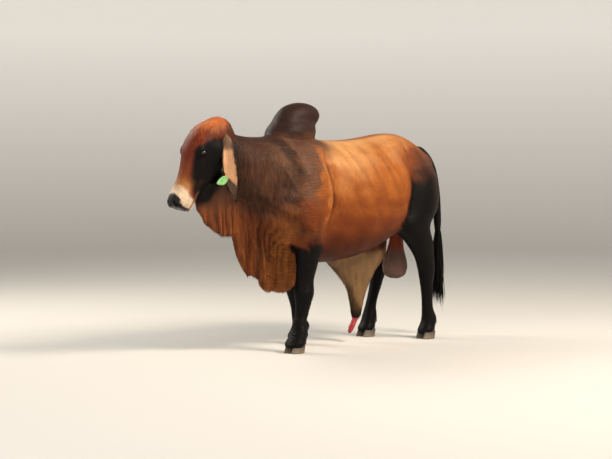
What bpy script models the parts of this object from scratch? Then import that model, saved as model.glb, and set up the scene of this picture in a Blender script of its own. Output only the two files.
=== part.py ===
"""A brahman bull in a slow step, life size, as a still museum model.

x runs from the muzzle (-) to the tail (+), y to the animal's right and z up.
The flesh is modelled whole, from tubes carried along paths, then parted by thin cuts.
"""

import math

import bmesh
import bpy
import numpy as np
from mathutils import Matrix, Vector

# Driving dimensions, in metres
HIP_HEIGHT = 1.50
MID_LENGTH_X = -0.2715  # the middle of the length in the drawing, which becomes x = 0
CUT_GAP = 0.0003
VOXEL = 0.0125
HEAD_ZOOM = 2.3  # the head is meshed this much finer than the body
HEAD_MIDDLE = (-1.30, 0.0, 1.27)
HEAD_REACH = 0.36
SKIN_TRIANGLES = 6200

# The stance: where each hoof stands, x and y
LEFT_FORE = (-0.60, -0.20)
RIGHT_FORE = (-0.235, 0.175)
LEFT_HIND = (0.70, -0.195)
RIGHT_HIND = (0.484, 0.204)

FORE_LEGS = (
    ("left_fore", LEFT_FORE, -0.535, -0.52, -0.225),
    ("right_fore", RIGHT_FORE, -0.275, -0.385, 0.215),
)
HIND_LEGS = (
    ("left_hind", LEFT_HIND, 0.680, 0.45),
    ("right_hind", RIGHT_HIND, 0.590, 0.38),
)

# Colours, as linear values
RED_COAT = (0.19, 0.052, 0.018)
BLACK_COAT = (0.010, 0.008, 0.007)
HOOF = (0.16, 0.12, 0.09)
EYE_COLOUR = (0.012, 0.008, 0.006)
TAG_GREEN = (0.30, 0.74, 0.24)
PREPUCE_RED = (0.30, 0.05, 0.05)

# The head's own axes: from the poll along the face, and out of the forehead
POLL = np.array([-1.135, 0.0, 1.575])
HEAD_PITCH = math.radians(56)
FACE_DOWN = np.array([-math.cos(HEAD_PITCH), 0.0, -math.sin(HEAD_PITCH)])
FACE_OUT = np.array([-math.sin(HEAD_PITCH), 0.0, math.cos(HEAD_PITCH)])
EYE_DOWN, EYE_OUT, EYE_SIDE = 0.300, 0.036, 0.095
EYE_RADIUS = 0.0215
TAIL_END = 0.770
EAR_FACING = (-0.80, 0.60, 0.12)  # the way that the right ear's cup opens
TAG_LEVEL = 1.185
LID_RADIUS = 0.0260
EYE_SLANT = math.radians(24)

# Where the hind legs part from the flanks, and the fore legs from the chest
HIND_WALL_Y = 0.095
FORE_WALL_Y = 0.110


def clear_scene():
    for obj in list(bpy.data.objects):
        bpy.data.objects.remove(obj)


def new_object(name, points, faces):
    mesh = bpy.data.meshes.new(name)
    mesh.from_pydata([tuple(p) for p in points], [], faces)
    mesh.update()
    obj = bpy.data.objects.new(name, mesh)
    bpy.context.scene.collection.objects.link(obj)
    return obj


def head_point(down, out, side=0.0):
    """A point given along the face, out of the forehead and to the right."""
    return POLL + down * FACE_DOWN + out * FACE_OUT + np.array([0.0, side, 0.0])


def spline(rows, steps):
    """Even samples of a smooth curve through the rows, whose slopes are those of their neighbours' chords."""
    rows = np.array(rows, float)
    run = np.r_[0, np.cumsum(np.linalg.norm(np.diff(rows[:, :3], axis=0), axis=1))]
    slope = np.gradient(rows, run, axis=0)
    at = np.linspace(0, run[-1], steps)
    i = np.clip(np.searchsorted(run, at, side="right") - 1, 0, len(run) - 2)
    span = (run[i + 1] - run[i])[:, None]
    u = (at - run[i])[:, None] / span
    return (
        (1 + 2 * u) * (1 - u) ** 2 * rows[i]
        + u * (1 - u) ** 2 * span * slope[i]
        + u * u * (3 - 2 * u) * rows[i + 1]
        + u * u * (u - 1) * span * slope[i + 1]
    )


def unit(v):
    return v / np.linalg.norm(v, axis=-1, keepdims=True)


def ring_faces(rings, sides):
    """The quads between rings of points, and a cap at each end."""
    faces = [
        (r * sides + s, r * sides + (s + 1) % sides, (r + 1) * sides + (s + 1) % sides, (r + 1) * sides + s)
        for r in range(rings - 1)
        for s in range(sides)
    ]
    last = (rings - 1) * sides
    return faces + [tuple(range(sides))[::-1], tuple(last + s for s in range(sides))]


def ring_triangles(rings, sides):
    """The same, but with each quad split along the same diagonal, so that a piece and its socket match."""
    faces = []
    for r in range(rings - 1):
        for s in range(sides):
            a, b = r * sides + s, r * sides + (s + 1) % sides
            faces += [(a, b, b + sides), (a, b + sides, a + sides)]
    last = (rings - 1) * sides
    return faces + [tuple(range(sides))[::-1], tuple(last + s for s in range(sides))]


def tube(name, rows, up, steps=48, sides=36, power=2.2, run=None):
    """A closed tube. Each row is a centre, the half width across, and the half depths towards and away from up.

    Its rings stand square to its path, or to run where that is given.
    """
    rows = spline(rows, steps)
    centre, wide, rise, fall = rows[:, :3], rows[:, 3], rows[:, 4], rows[:, 5]
    along = unit(np.gradient(centre, axis=0)) if run is None else np.broadcast_to(np.array(run, float), centre.shape)
    across = unit(np.cross(along, np.array(up, float)))
    lift = np.cross(across, along)
    turn = np.linspace(0, 2 * math.pi, sides, endpoint=False)
    c, s = (np.sign(f) * np.abs(f) ** (2 / power) for f in (np.cos(turn), np.sin(turn)))
    depth = np.where(c > 0, rise[:, None], fall[:, None]) * c
    points = centre[:, None] + across[:, None] * (wide[:, None] * s)[..., None] + lift[:, None] * depth[..., None]
    obj = new_object(name, points.reshape(-1, 3), ring_faces(steps, sides))
    outward(obj)
    return obj


def outward(obj):
    work = bmesh.new()
    work.from_mesh(obj.data)
    bmesh.ops.recalc_face_normals(work, faces=work.faces)
    work.to_mesh(obj.data)
    work.free()


def ellipsoid(name, centre, radii, pitch=0.0):
    """An ellipsoid whose long axis dips by pitch about y."""
    work = bmesh.new()
    bmesh.ops.create_uvsphere(work, u_segments=32, v_segments=20, radius=1)
    turn = Matrix.Translation(Vector(centre)) @ Matrix.Rotation(pitch, 4, "Y") @ Matrix.Diagonal((*radii, 1))
    bmesh.ops.transform(work, matrix=turn, verts=work.verts)
    obj = new_object(name, [], [])
    work.to_mesh(obj.data)
    work.free()
    return obj


def trunk():
    """Rump, barrel and chest: x, level of the widest place, half width, top and bottom."""
    rows = [
        (0.852, 1.21, 0.05, 1.26, 1.13),
        (0.82, 1.20, 0.115, 1.330, 1.05),
        (0.76, 1.15, 0.19, 1.378, 0.93),
        (0.66, 1.11, 0.240, 1.440, 0.85),
        (0.52, 1.08, 0.262, 1.492, 0.79),
        (0.43, 1.06, 0.280, 1.497, 0.755),
        (0.36, 1.04, 0.345, 1.490, 0.730),
        (0.25, 1.01, 0.372, 1.472, 0.685),
        (0.08, 0.98, 0.385, 1.450, 0.625),
        (-0.10, 0.97, 0.382, 1.440, 0.590),
        (-0.28, 0.98, 0.352, 1.445, 0.585),
        (-0.46, 1.00, 0.318, 1.455, 0.620),
        (-0.64, 1.02, 0.285, 1.455, 0.690),
        (-0.80, 1.05, 0.215, 1.420, 0.790),
        (-0.90, 1.07, 0.110, 1.300, 0.890),
        (-0.93, 1.08, 0.040, 1.160, 1.000),
    ]
    rows = [(x, 0, z, w, top - z, z - low) for x, z, w, top, low in rows]
    return tube("trunk", rows, (0, 0, 1), 64, 48, 2.25, run=(-1, 0, 0))


def neck():
    """The neck from inside the chest to inside the head: x, middle, half width, crest and throat."""
    rows = [
        (-0.45, 1.15, 0.20, 1.40, 0.80),
        (-0.62, 1.14, 0.225, 1.465, 0.80),
        (-0.78, 1.17, 0.215, 1.458, 0.86),
        (-0.90, 1.21, 0.190, 1.460, 0.93),
        (-1.00, 1.26, 0.160, 1.475, 1.01),
        (-1.09, 1.31, 0.130, 1.508, 1.09),
        (-1.16, 1.34, 0.105, 1.525, 1.15),
    ]
    rows = [(x, 0, z, w, top - z, z - low) for x, z, w, top, low in rows]
    return tube("neck", rows, (0, 0, 1), 40, 40, 2.1, run=(-1, 0, 0))


def skull():
    """Forehead, face, jaw and muzzle, along the face: how far down, middle, half width, face line and jaw line."""
    rows = [
        (-0.005, -0.10, 0.045, -0.040, -0.165),
        (0.02, -0.09, 0.085, -0.008, -0.190),
        (0.07, -0.06, 0.113, 0.042, -0.205),
        (0.14, -0.04, 0.122, 0.098, -0.215),
        (0.22, -0.03, 0.120, 0.120, -0.220),
        (0.29, -0.03, 0.108, 0.113, -0.212),
        (0.36, -0.04, 0.092, 0.087, -0.190),
        (0.43, -0.05, 0.079, 0.064, -0.168),
        (0.50, -0.055, 0.072, 0.050, -0.148),
        (0.555, -0.05, 0.074, 0.044, -0.136),
        (0.605, -0.045, 0.079, 0.040, -0.134),
        (0.640, -0.045, 0.077, 0.033, -0.132),
        (0.665, -0.045, 0.066, 0.017, -0.118),
        (0.680, -0.048, 0.045, -0.006, -0.092),
    ]
    rows = [(*head_point(down, mid), wide, top - mid, mid - low) for down, mid, wide, top, low in rows]
    return tube("skull", rows, FACE_OUT, 64, 40, 2.3)


def orbit(side):
    """The bony ring that carries the eye and the brow."""
    return ellipsoid("orbit", head_point(EYE_DOWN - 0.014, EYE_OUT, side * (EYE_SIDE - 0.024)), (0.062, 0.036, 0.056))


def fore_leg(name, hoof, knee_x, elbow_x, elbow_y):
    """A fore leg from inside the shoulder to the coronet: centre, half width, half depths in front and behind."""
    x, y = hoof
    side = math.copysign(1, y)
    rows = [
        (elbow_x - 0.03, elbow_y - 0.03 * side, 1.16, 0.09, 0.13, 0.15),
        (elbow_x - 0.03, elbow_y, 1.00, 0.100, 0.150, 0.16),
        (elbow_x, elbow_y + 0.012 * side, 0.84, 0.098, 0.130, 0.145),
        (elbow_x * 0.7 + knee_x * 0.3, elbow_y, 0.71, 0.086, 0.100, 0.105),
        (elbow_x * 0.4 + knee_x * 0.6, elbow_y * 0.6 + y * 0.4, 0.58, 0.070, 0.076, 0.078),
        (elbow_x * 0.12 + knee_x * 0.88, y, 0.48, 0.062, 0.065, 0.066),
        (knee_x, y, 0.40, 0.069, 0.074, 0.064),
        (knee_x * 0.85 + x * 0.15, y, 0.33, 0.056, 0.056, 0.054),
        (knee_x * 0.6 + x * 0.4, y, 0.26, 0.047, 0.043, 0.049),
        (knee_x * 0.25 + x * 0.75, y, 0.19, 0.051, 0.045, 0.052),
        (x + 0.012, y, 0.135, 0.067, 0.055, 0.064),
        (x - 0.005, y, 0.095, 0.068, 0.058, 0.056),
        (x - 0.02, y, 0.055, 0.073, 0.070, 0.062),
        (x - 0.025, y, 0.035, 0.060, 0.060, 0.050),
    ]
    return tube(name, rows, (-1, 0, 0), 56, 32, 2.2, run=(0, 0, -1))


def hind_leg(name, hoof, hock_x, stifle_x):
    """A hind leg from inside the rump to the coronet."""
    x, y = hoof
    side = math.copysign(1, y)
    ham_x = stifle_x + 0.06
    rows = [
        (ham_x + 0.05, 0.16 * side, 1.26, 0.11, 0.15, 0.20),
        (ham_x + 0.06, 0.18 * side, 1.10, 0.122, 0.16, 0.22),
        (ham_x + 0.04, 0.200 * side, 0.95, 0.120, 0.15, 0.20),
        (stifle_x + 0.04, 0.214 * side, 0.83, 0.106, 0.145, 0.175),
        (stifle_x * 0.45 + hock_x * 0.55, 0.222 * side, 0.70, 0.086, 0.105, 0.125),
        (stifle_x * 0.15 + hock_x * 0.85, 0.21 * side, 0.59, 0.064, 0.080, 0.085),
        (hock_x, y, 0.50, 0.058, 0.066, 0.076),
        (hock_x * 0.85 + x * 0.15, y, 0.42, 0.050, 0.052, 0.058),
        (hock_x * 0.5 + x * 0.5, y, 0.31, 0.044, 0.041, 0.047),
        (hock_x * 0.2 + x * 0.8, y, 0.21, 0.046, 0.042, 0.048),
        (x + 0.010, y, 0.145, 0.060, 0.051, 0.060),
        (x - 0.005, y, 0.100, 0.060, 0.053, 0.052),
        (x - 0.02, y, 0.055, 0.066, 0.064, 0.057),
        (x - 0.025, y, 0.035, 0.055, 0.055, 0.045),
    ]
    return tube(name, rows, (-1, 0, 0), 56, 32, 2.2, run=(0, 0, -1))


def hump():
    """The hump leans back over the withers, with its rear end hanging free."""
    crown = ellipsoid("hump_crown", (-0.410, 0, 1.600), (0.188, 0.108, 0.100), math.radians(-4))
    brow = ellipsoid("hump_brow", (-0.485, 0, 1.560), (0.150, 0.112, 0.110), math.radians(-24))
    root = ellipsoid("hump_root", (-0.480, 0, 1.485), (0.205, 0.150, 0.125), math.radians(-8))
    return [crown, brow, root]


def dewlap():
    """The dewlap, a pleated curtain of skin from the jaw to the brisket: x, root level, hem level, root and hem half thickness."""
    rows = [
        (-1.305, 1.075, 0.975, 0.045, 0.014),
        (-1.24, 1.14, 0.895, 0.060, 0.016),
        (-1.17, 1.17, 0.815, 0.070, 0.018),
        (-1.09, 1.14, 0.783, 0.075, 0.019),
        (-1.025, 1.13, 0.790, 0.090, 0.019),
        (-0.995, 1.11, 0.815, 0.095, 0.019),
        (-0.965, 1.08, 0.720, 0.110, 0.022),
        (-0.92, 1.03, 0.575, 0.120, 0.026),
        (-0.865, 0.98, 0.500, 0.125, 0.030),
        (-0.815, 0.92, 0.512, 0.122, 0.032),
        (-0.77, 0.88, 0.450, 0.118, 0.036),
        (-0.70, 0.82, 0.393, 0.112, 0.040),
        (-0.645, 0.79, 0.415, 0.108, 0.042),
        (-0.58, 0.76, 0.388, 0.105, 0.044),
        (-0.50, 0.73, 0.400, 0.100, 0.042),
        (-0.43, 0.70, 0.475, 0.095, 0.036),
        (-0.37, 0.68, 0.600, 0.080, 0.026),
    ]
    steps, levels = 90, 22
    rows = np.array([[np.interp(t, np.linspace(0, 1, len(rows)), [row[k] for row in rows]) for k in range(5)]
                     for t in np.linspace(0, 1, steps)])
    x, root, hem, thick, thin = (rows[:, k][:, None] for k in range(5))
    fall = np.linspace(0, 1, levels)[None]
    z = root + (hem - root) * fall
    half = thin + (thick - thin) * (1 - fall) ** 1.6
    half = half * np.sqrt(np.clip(1 - np.clip((fall - 0.9) / 0.1, 0, 1) ** 2, 0.02, 1))
    run = x * 2 * math.pi
    pleat = 0.013 * fall * np.sin(run * 8.3 + 2 * fall) + 0.020 * fall * np.sin(run * 3.1 + 1)
    half = half * (1 + 0.32 * fall * np.sin(run * 13 + 2.2 * np.sin(run * 4)))
    left = np.stack([x + 0 * z, pleat - half, z], -1)
    right = np.stack([x + 0 * z, pleat + half, z], -1)
    loop = np.concatenate([left, right[:, ::-1]], axis=1)
    obj = new_object("dewlap", loop.reshape(-1, 3), ring_faces(steps, 2 * levels))
    outward(obj)
    return obj


def sheath():
    rows = [
        (0.13, 0, 0.82, 0.085, 0.26, 0.34),
        (0.13, 0, 0.70, 0.100, 0.30, 0.33),
        (0.13, 0, 0.60, 0.090, 0.28, 0.31),
        (0.15, 0, 0.50, 0.072, 0.20, 0.225),
        (0.162, 0, 0.40, 0.052, 0.125, 0.150),
        (0.160, 0, 0.31, 0.045, 0.078, 0.090),
        (0.158, 0, 0.23, 0.042, 0.056, 0.060),
        (0.156, 0, 0.17, 0.036, 0.042, 0.042),
        (0.154, 0, 0.140, 0.026, 0.028, 0.028),
    ]
    return tube("sheath", rows, (-1, 0, 0), 40, 28, 2.1, run=(0, 0, -1))


def scrotum():
    rows = [
        (0.585, 0, 0.86, 0.060, 0.07, 0.07),
        (0.575, 0, 0.74, 0.052, 0.055, 0.058),
        (0.565, 0, 0.65, 0.068, 0.062, 0.066),
        (0.558, 0, 0.56, 0.094, 0.088, 0.090),
        (0.555, 0, 0.49, 0.093, 0.087, 0.090),
        (0.555, 0, 0.445, 0.064, 0.060, 0.062),
        (0.555, 0, 0.428, 0.025, 0.025, 0.025),
    ]
    return tube("scrotum", rows, (-1, 0, 0), 32, 28, 2.0)


def tail_rows():
    """The fleshy tail, from inside the rump to where the switch begins."""
    return [
        (0.72, 0.0, 1.345, 0.060, 0.05, 0.06),
        (0.80, 0.0, 1.352, 0.058, 0.050, 0.06),
        (0.865, -0.012, 1.310, 0.052, 0.046, 0.046),
        (0.905, -0.030, 1.230, 0.048, 0.044, 0.044),
        (0.930, -0.050, 1.100, 0.042, 0.038, 0.038),
        (0.936, -0.068, 0.940, 0.036, 0.034, 0.034),
        (0.932, -0.080, 0.820, 0.031, 0.030, 0.030),
        (0.930, -0.084, 0.720, 0.028, 0.028, 0.028),
    ]


def spread(points):
    """Moves points away from the head's middle, so that an even mesh there is finer once they are back."""
    away = points - np.array(HEAD_MIDDLE)
    far = np.linalg.norm(away, axis=1, keepdims=True)
    new = far + (HEAD_ZOOM - 1) * HEAD_REACH * np.tanh(far / HEAD_REACH)
    return np.array(HEAD_MIDDLE) + away * new / np.maximum(far, 1e-9)


def gather(points):
    """Undoes spread."""
    away = points - np.array(HEAD_MIDDLE)
    far = np.linalg.norm(away, axis=1, keepdims=True)
    table = np.linspace(0, 4, 4001)
    spread_table = table + (HEAD_ZOOM - 1) * HEAD_REACH * np.tanh(table / HEAD_REACH)
    return np.array(HEAD_MIDDLE) + away * np.interp(far, spread_table, table) / np.maximum(far, 1e-9)


def points_of(obj):
    co = np.empty(len(obj.data.vertices) * 3, np.float32)
    obj.data.vertices.foreach_get("co", co)
    return co.reshape(-1, 3).astype(float)


def set_points(obj, points):
    obj.data.vertices.foreach_set("co", points.astype(np.float32).ravel())
    obj.data.update()


def apply_modifiers(obj):
    graph = bpy.context.evaluated_depsgraph_get()
    mesh = bpy.data.meshes.new_from_object(obj.evaluated_get(graph))
    obj.modifiers.clear()
    obj.data = mesh


def joined(name, objects):
    """One object that holds all the shells, which still cross each other."""
    points, faces, start = [], [], 0
    for obj in objects:
        points += [tuple(obj.matrix_world @ v.co) for v in obj.data.vertices]
        faces += [tuple(start + i for i in p.vertices) for p in obj.data.polygons]
        start = len(points)
        bpy.data.objects.remove(obj)
    return new_object(name, points, faces)


def relax(obj, weight, rounds):
    """Moves each point towards the middle of its neighbours, by a share that weight gives for its place."""
    points = points_of(obj)
    ends = np.empty(len(obj.data.edges) * 2, np.int32)
    obj.data.edges.foreach_get("vertices", ends)
    a, b = ends.reshape(-1, 2).T
    count = np.bincount(np.r_[a, b], minlength=len(points))[:, None]
    share = weight(points)[:, None]
    for _ in range(rounds):
        total = np.stack([np.bincount(np.r_[a, b], np.r_[points[b, k], points[a, k]], len(points)) for k in range(3)], 1)
        points += share * 0.6 * (total / count - points)
    set_points(obj, points)


def smooth_weight(p):
    """Broad on the trunk, less on the legs and face."""
    head = np.exp(-(((p - np.array(HEAD_MIDDLE)) / np.array([0.32, 0.3, 0.42])) ** 2).sum(1))
    legs = np.clip((0.80 - p[:, 2]) / 0.25, 0, 1)
    tail = np.clip((p[:, 0] - 0.86) / 0.04, 0, 1)
    return np.clip(1 - 0.75 * head - 0.70 * legs - 0.8 * tail, 0.12, 1)


def normals_of(obj):
    out = np.empty(len(obj.data.vertices) * 3, np.float32)
    obj.data.vertex_normals.foreach_get("vector", out)
    return out.reshape(-1, 3).astype(float)


def swell(p, n, centre, radii, height):
    """A soft swelling, or a hollow if height is negative, on both sides of the animal."""
    for side in (1, -1) if centre[1] else (1,):
        middle = np.array(centre, float) * (1, side, 1)
        q = (((p - middle) / np.array(radii)) ** 2).sum(1)
        p = p + n * (height * np.exp(-q))[:, None]
    return p


def furrow(p, n, path, width, depth):
    """A groove along a path, on both sides, that fades at its ends."""
    path = np.array(path, float)
    for side in (1, -1):
        line = path * (1, side, 1)
        run = np.r_[0, np.cumsum(np.linalg.norm(np.diff(line, axis=0), axis=1))]
        best, at = np.full(len(p), 9.0), np.zeros(len(p))
        for i in range(len(line) - 1):
            span = line[i + 1] - line[i]
            u = np.clip(((p - line[i]) @ span) / (span @ span), 0, 1)
            far = np.linalg.norm(p - line[i] - u[:, None] * span, axis=1)
            near = far < best
            at = np.where(near, run[i] + u * (run[i + 1] - run[i]), at)
            best = np.minimum(best, far)
        fade = np.clip(np.minimum(at, run[-1] - at) / (0.18 * run[-1]), 0, 1)
        p = p - n * (depth * (0.25 + 0.75 * fade) * np.exp(-((best / width) ** 2)))[:, None]
    return p


def sculpt(obj):
    """The bones, muscles, folds and features that the tubes leave out."""
    p = points_of(obj)
    n = normals_of(obj)
    # Poll, brow, temple, cheek bone and cheek
    p = swell(p, n, head_point(0.03, 0.01), (0.05, 0.07, 0.05), 0.008)
    p = swell(p, n, head_point(0.245, 0.070, 0.085), (0.035, 0.032, 0.032), 0.006)
    p = swell(p, n, head_point(0.17, 0.00, 0.118), (0.045, 0.05, 0.045), -0.010)
    p = swell(p, n, head_point(0.23, -0.13, 0.11), (0.08, 0.08, 0.07), 0.012)
    p = furrow(p, n, [head_point(0.33, 0.00, 0.10), head_point(0.42, -0.02, 0.08), head_point(0.49, -0.025, 0.07)], 0.018, -0.006)
    p = swell(p, n, head_point(0.43, -0.08, 0.08), (0.05, 0.04, 0.04), -0.007)
    # Nostrils, lips, mouth line and chin
    p = swell(p, n, head_point(0.640, 0.014, 0.050), (0.022, 0.020, 0.020), 0.007)
    p = swell(p, n, head_point(0.666, -0.012, 0.042), (0.015, 0.014, 0.017), -0.024)
    p = swell(p, n, head_point(0.61, -0.050, 0.078), (0.040, 0.028, 0.030), 0.006)
    p = furrow(p, n, [head_point(0.674, -0.080, 0.0), head_point(0.664, -0.084, 0.035), head_point(0.62, -0.090, 0.070),
                      head_point(0.565, -0.094, 0.074), head_point(0.51, -0.088, 0.068)], 0.006, 0.009)
    p = swell(p, n, head_point(0.61, -0.130), (0.030, 0.036, 0.022), 0.006)
    # Shoulder blade, point of the shoulder, elbow and the hollow behind the shoulder
    p = swell(p, n, (-0.60, 0.30, 1.12), (0.14, 0.16, 0.24), 0.028)
    p = swell(p, n, (-0.74, 0.24, 0.93), (0.10, 0.14, 0.12), 0.026)
    p = furrow(p, n, [(-0.33, 0.22, 1.42), (-0.36, 0.33, 1.25), (-0.345, 0.36, 1.05), (-0.36, 0.34, 0.82)], 0.028, 0.016)
    p = furrow(p, n, [(-0.80, 0.16, 1.36), (-0.84, 0.22, 1.18), (-0.86, 0.21, 1.00), (-0.80, 0.22, 0.86)], 0.045, 0.016)
    # Hook bone, flank hollow, thigh and pin bone
    p = swell(p, n, (0.42, 0.22, 1.40), (0.09, 0.10, 0.08), 0.026)
    p = swell(p, n, (0.26, 0.27, 1.30), (0.10, 0.12, 0.10), -0.020)
    p = swell(p, n, (0.80, 0.11, 1.28), (0.07, 0.07, 0.09), 0.020)
    p = swell(p, n, (0.60, 0.28, 1.08), (0.16, 0.14, 0.22), 0.020)
    p = furrow(p, n, [(0.30, 0.34, 1.00), (0.33, 0.33, 0.88), (0.30, 0.28, 0.76)], 0.035, 0.020)
    return p


def shape_flesh(voxel, rounds):
    """The whole of the flesh as one closed skin."""
    shells = [trunk(), neck(), skull(), orbit(1), orbit(-1), *hump(), dewlap(), sheath(), scrotum()]
    shells.append(tube("tail_root", tail_rows(), (-1, 0, 0), 40, 20, 2.0))
    for name, hoof, knee, elbow, elbow_y in FORE_LEGS:
        shells += [fore_leg(name, hoof, knee, elbow, elbow_y), *dew_claws(hoof, 0.064)]
    for name, hoof, hock, stifle in HIND_LEGS:
        shells += [hind_leg(name, hoof, hock, stifle), *dew_claws(hoof, 0.060)]
    flesh = joined("flesh", shells)
    set_points(flesh, spread(points_of(flesh)))
    remesh = flesh.modifiers.new("even", "REMESH")
    remesh.mode = "VOXEL"
    remesh.voxel_size = voxel
    apply_modifiers(flesh)
    set_points(flesh, gather(points_of(flesh)))
    relax(flesh, smooth_weight, rounds)
    set_points(flesh, sculpt(flesh))
    return flesh


def thin_out(obj, triangles):
    """Fewer triangles, with more of them kept on the head."""
    set_points(obj, spread(points_of(obj)))
    thin = obj.modifiers.new("thin", "DECIMATE")
    thin.use_collapse_triangulate = True
    thin.ratio = triangles / sum(len(p.vertices) - 2 for p in obj.data.polygons)
    apply_modifiers(obj)
    set_points(obj, gather(points_of(obj)))


def boolean(obj, other, operation="DIFFERENCE"):
    """Cuts with another object, or joins it, and removes that object."""
    cut = obj.modifiers.new("cut", "BOOLEAN")
    cut.operation = operation
    cut.solver = "MANIFOLD"
    cut.object = other
    apply_modifiers(obj)
    bpy.data.objects.remove(other)


def sheet(path, across, reach):
    """A sheet as thin as the gap, which follows a path and runs along the axis across, by reach = rows of two ends."""
    path = np.array(path, float)
    step = unit(np.diff(path, axis=0))
    thick = unit(np.cross(step, across))
    corner = np.vstack([thick[:1], thick[:-1] + thick[1:], thick[-1:]])
    corner = corner / np.einsum("ij,ij->i", corner, np.vstack([thick[:1], thick]))[:, None]
    reach = np.array(reach, float)
    reach = np.broadcast_to(reach, (len(path), 2))
    across = np.array(across, float)
    half = corner * CUT_GAP / 2
    rings = np.stack([
        path + half + across * reach[:, :1],
        path + half + across * reach[:, 1:],
        path - half + across * reach[:, 1:],
        path - half + across * reach[:, :1],
    ], axis=1)
    obj = new_object("sheet", rings.reshape(-1, 3), ring_faces(len(path), 4))
    outward(obj)
    return obj


def profile_sheet(rows):
    """A sheet that follows x and z, with its half width in y in the third column."""
    return sheet([(x, 0, z) for x, z, _ in rows], (0, 1, 0), [(-w, w) for _, _, w in rows])


def side_sheet(rows, near, far):
    """A sheet that follows x and z, from one y to another."""
    return sheet([(x, 0, z) for x, z in rows], (0, 1, 0), sorted((near, far)))


def wall(y, x_ends, z_ends):
    """An upright sheet along the animal."""
    return sheet([(x_ends[0], y, 0), (x_ends[1], y, 0)], (0, 0, 1), z_ends)


def cutting_sheets():
    """The thin sheets that part the flesh. Those that meet end at each other's middle."""
    yield profile_sheet([(-1.385, 0.93, 0.2), (-1.325, 1.022, 0.2), (-1.27, 1.075, 0.2), (-1.225, 1.090, 0.3),
                         (-1.18, 1.105, 0.3),
                         (-1.08, 1.095, 0.3), (-1.00, 1.035, 0.3), (-0.90, 0.945, 0.3), (-0.80, 0.835, 0.25),
                         (-0.75, 0.772, 0.28), (-0.695, 0.737, 0.28), (-0.68, 0.728, FORE_WALL_Y),
                         (-0.64, 0.703, FORE_WALL_Y), (-0.46, 0.632, FORE_WALL_Y),
                         (-0.37, 0.610, FORE_WALL_Y), (-0.29, 0.54, FORE_WALL_Y)])
    yield profile_sheet([(-1.03, 1.70, 0.3), (-1.06, 1.42, 0.3), (-1.11, 1.22, 0.3), (-1.225, 1.090, 0.3)])
    yield profile_sheet([(-0.80, 1.452, 0.4), (-0.90, 0.945, 0.4)])
    yield profile_sheet([(-0.86, 1.56, 0.3), (-0.80, 1.452, 0.3), (-0.72, 1.440, 0.3), (-0.60, 1.432, 0.3),
                         (-0.40, 1.425, 0.3), (-0.25, 1.425, 0.3), (-0.19, 1.440, 0.3), (-0.12, 1.49, 0.3)])
    yield profile_sheet([(-0.25, 1.425, 0.5), (-0.20, 0.50, 0.5)])
    yield profile_sheet([(0.22, 1.60, 0.5), (0.20, 0.692, 0.5)])
    yield profile_sheet([(-0.235, 0.53, 0.25), (-0.16, 0.606, 0.25), (0.0, 0.632, 0.20), (0.12, 0.664, 0.19),
                         (0.20, 0.692, 0.28), (0.2698, 0.716, 0.28), (0.2702, 0.716, HIND_WALL_Y),
                         (0.38, 0.760, HIND_WALL_Y), (0.44, 0.790, HIND_WALL_Y), (0.53, 0.74, HIND_WALL_Y)])
    yield profile_sheet([(0.46, 0.700, 0.12), (0.68, 0.715, 0.12)])
    yield profile_sheet([(0.785, 1.46, 0.10), (0.838, 1.30, 0.10), (0.862, 1.18, 0.10), (0.872, 1.02, 0.10)])
    yield side_sheet([(0.80, 0.98), (1.05, 0.98)], -0.16, 0.05)
    yield side_sheet([(0.85, TAIL_END), (1.00, TAIL_END)], -0.16, 0.05)
    for rear, level, side in ((-0.405, 0.745, -1), (-0.222, 0.745, 1)):
        y = side * FORE_WALL_Y
        yield side_sheet([(-0.80, level - 0.07), (-0.72, level), (rear - 0.02, level), (rear, level - 0.16)], y, side * 0.5)
        yield wall(y, (-0.80, rear), (0.545, level))
    for side in (-1, 1):
        y = side * HIND_WALL_Y
        yield side_sheet([(0.27, 0.60), (0.27, 0.81), (0.90, 0.81)], y, side * 0.5)
        yield wall(y, (0.27, 0.90), (0.60, 0.81))
    for name, hoof, knee, elbow, elbow_y in FORE_LEGS:
        yield side_sheet([(knee - 0.15, 0.405), (knee + 0.15, 0.395)], hoof[1] - 0.1, hoof[1] + 0.1)
    for name, hoof, hock, stifle in HIND_LEGS:
        yield side_sheet([(hock - 0.15, 0.475), (hock + 0.15, 0.505)], hoof[1] - 0.1, hoof[1] + 0.1)


FLESH_NODES = {
    "head": (-1.28, 0, 1.30),
    "neck": (-0.95, 0, 1.25),
    "dewlap": (-0.85, 0, 0.75),
    "hump": (-0.42, 0, 1.55),
    "shoulders": (-0.55, 0, 1.10),
    "barrel": (0.0, 0, 1.0),
    "hindquarters": (0.53, 0, 1.12),
    "sheath": (0.13, 0, 0.45),
    "scrotum": (0.56, 0, 0.56),
    "left_foreleg": (-0.55, -0.2, 0.56),
    "right_foreleg": (-0.35, 0.2, 0.56),
    "left_hind_leg": (0.58, -0.2, 0.65),
    "right_hind_leg": (0.50, 0.2, 0.65),
    "left_fore_foot": (-0.61, -0.2, 0.2),
    "right_fore_foot": (-0.30, 0.2, 0.2),
    "left_hind_foot": (0.70, -0.2, 0.25),
    "right_hind_foot": (0.51, 0.2, 0.25),
    "tail_root": (0.91, -0.04, 1.15),
    "tail_dock": (0.92, -0.075, 0.88),
}


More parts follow.
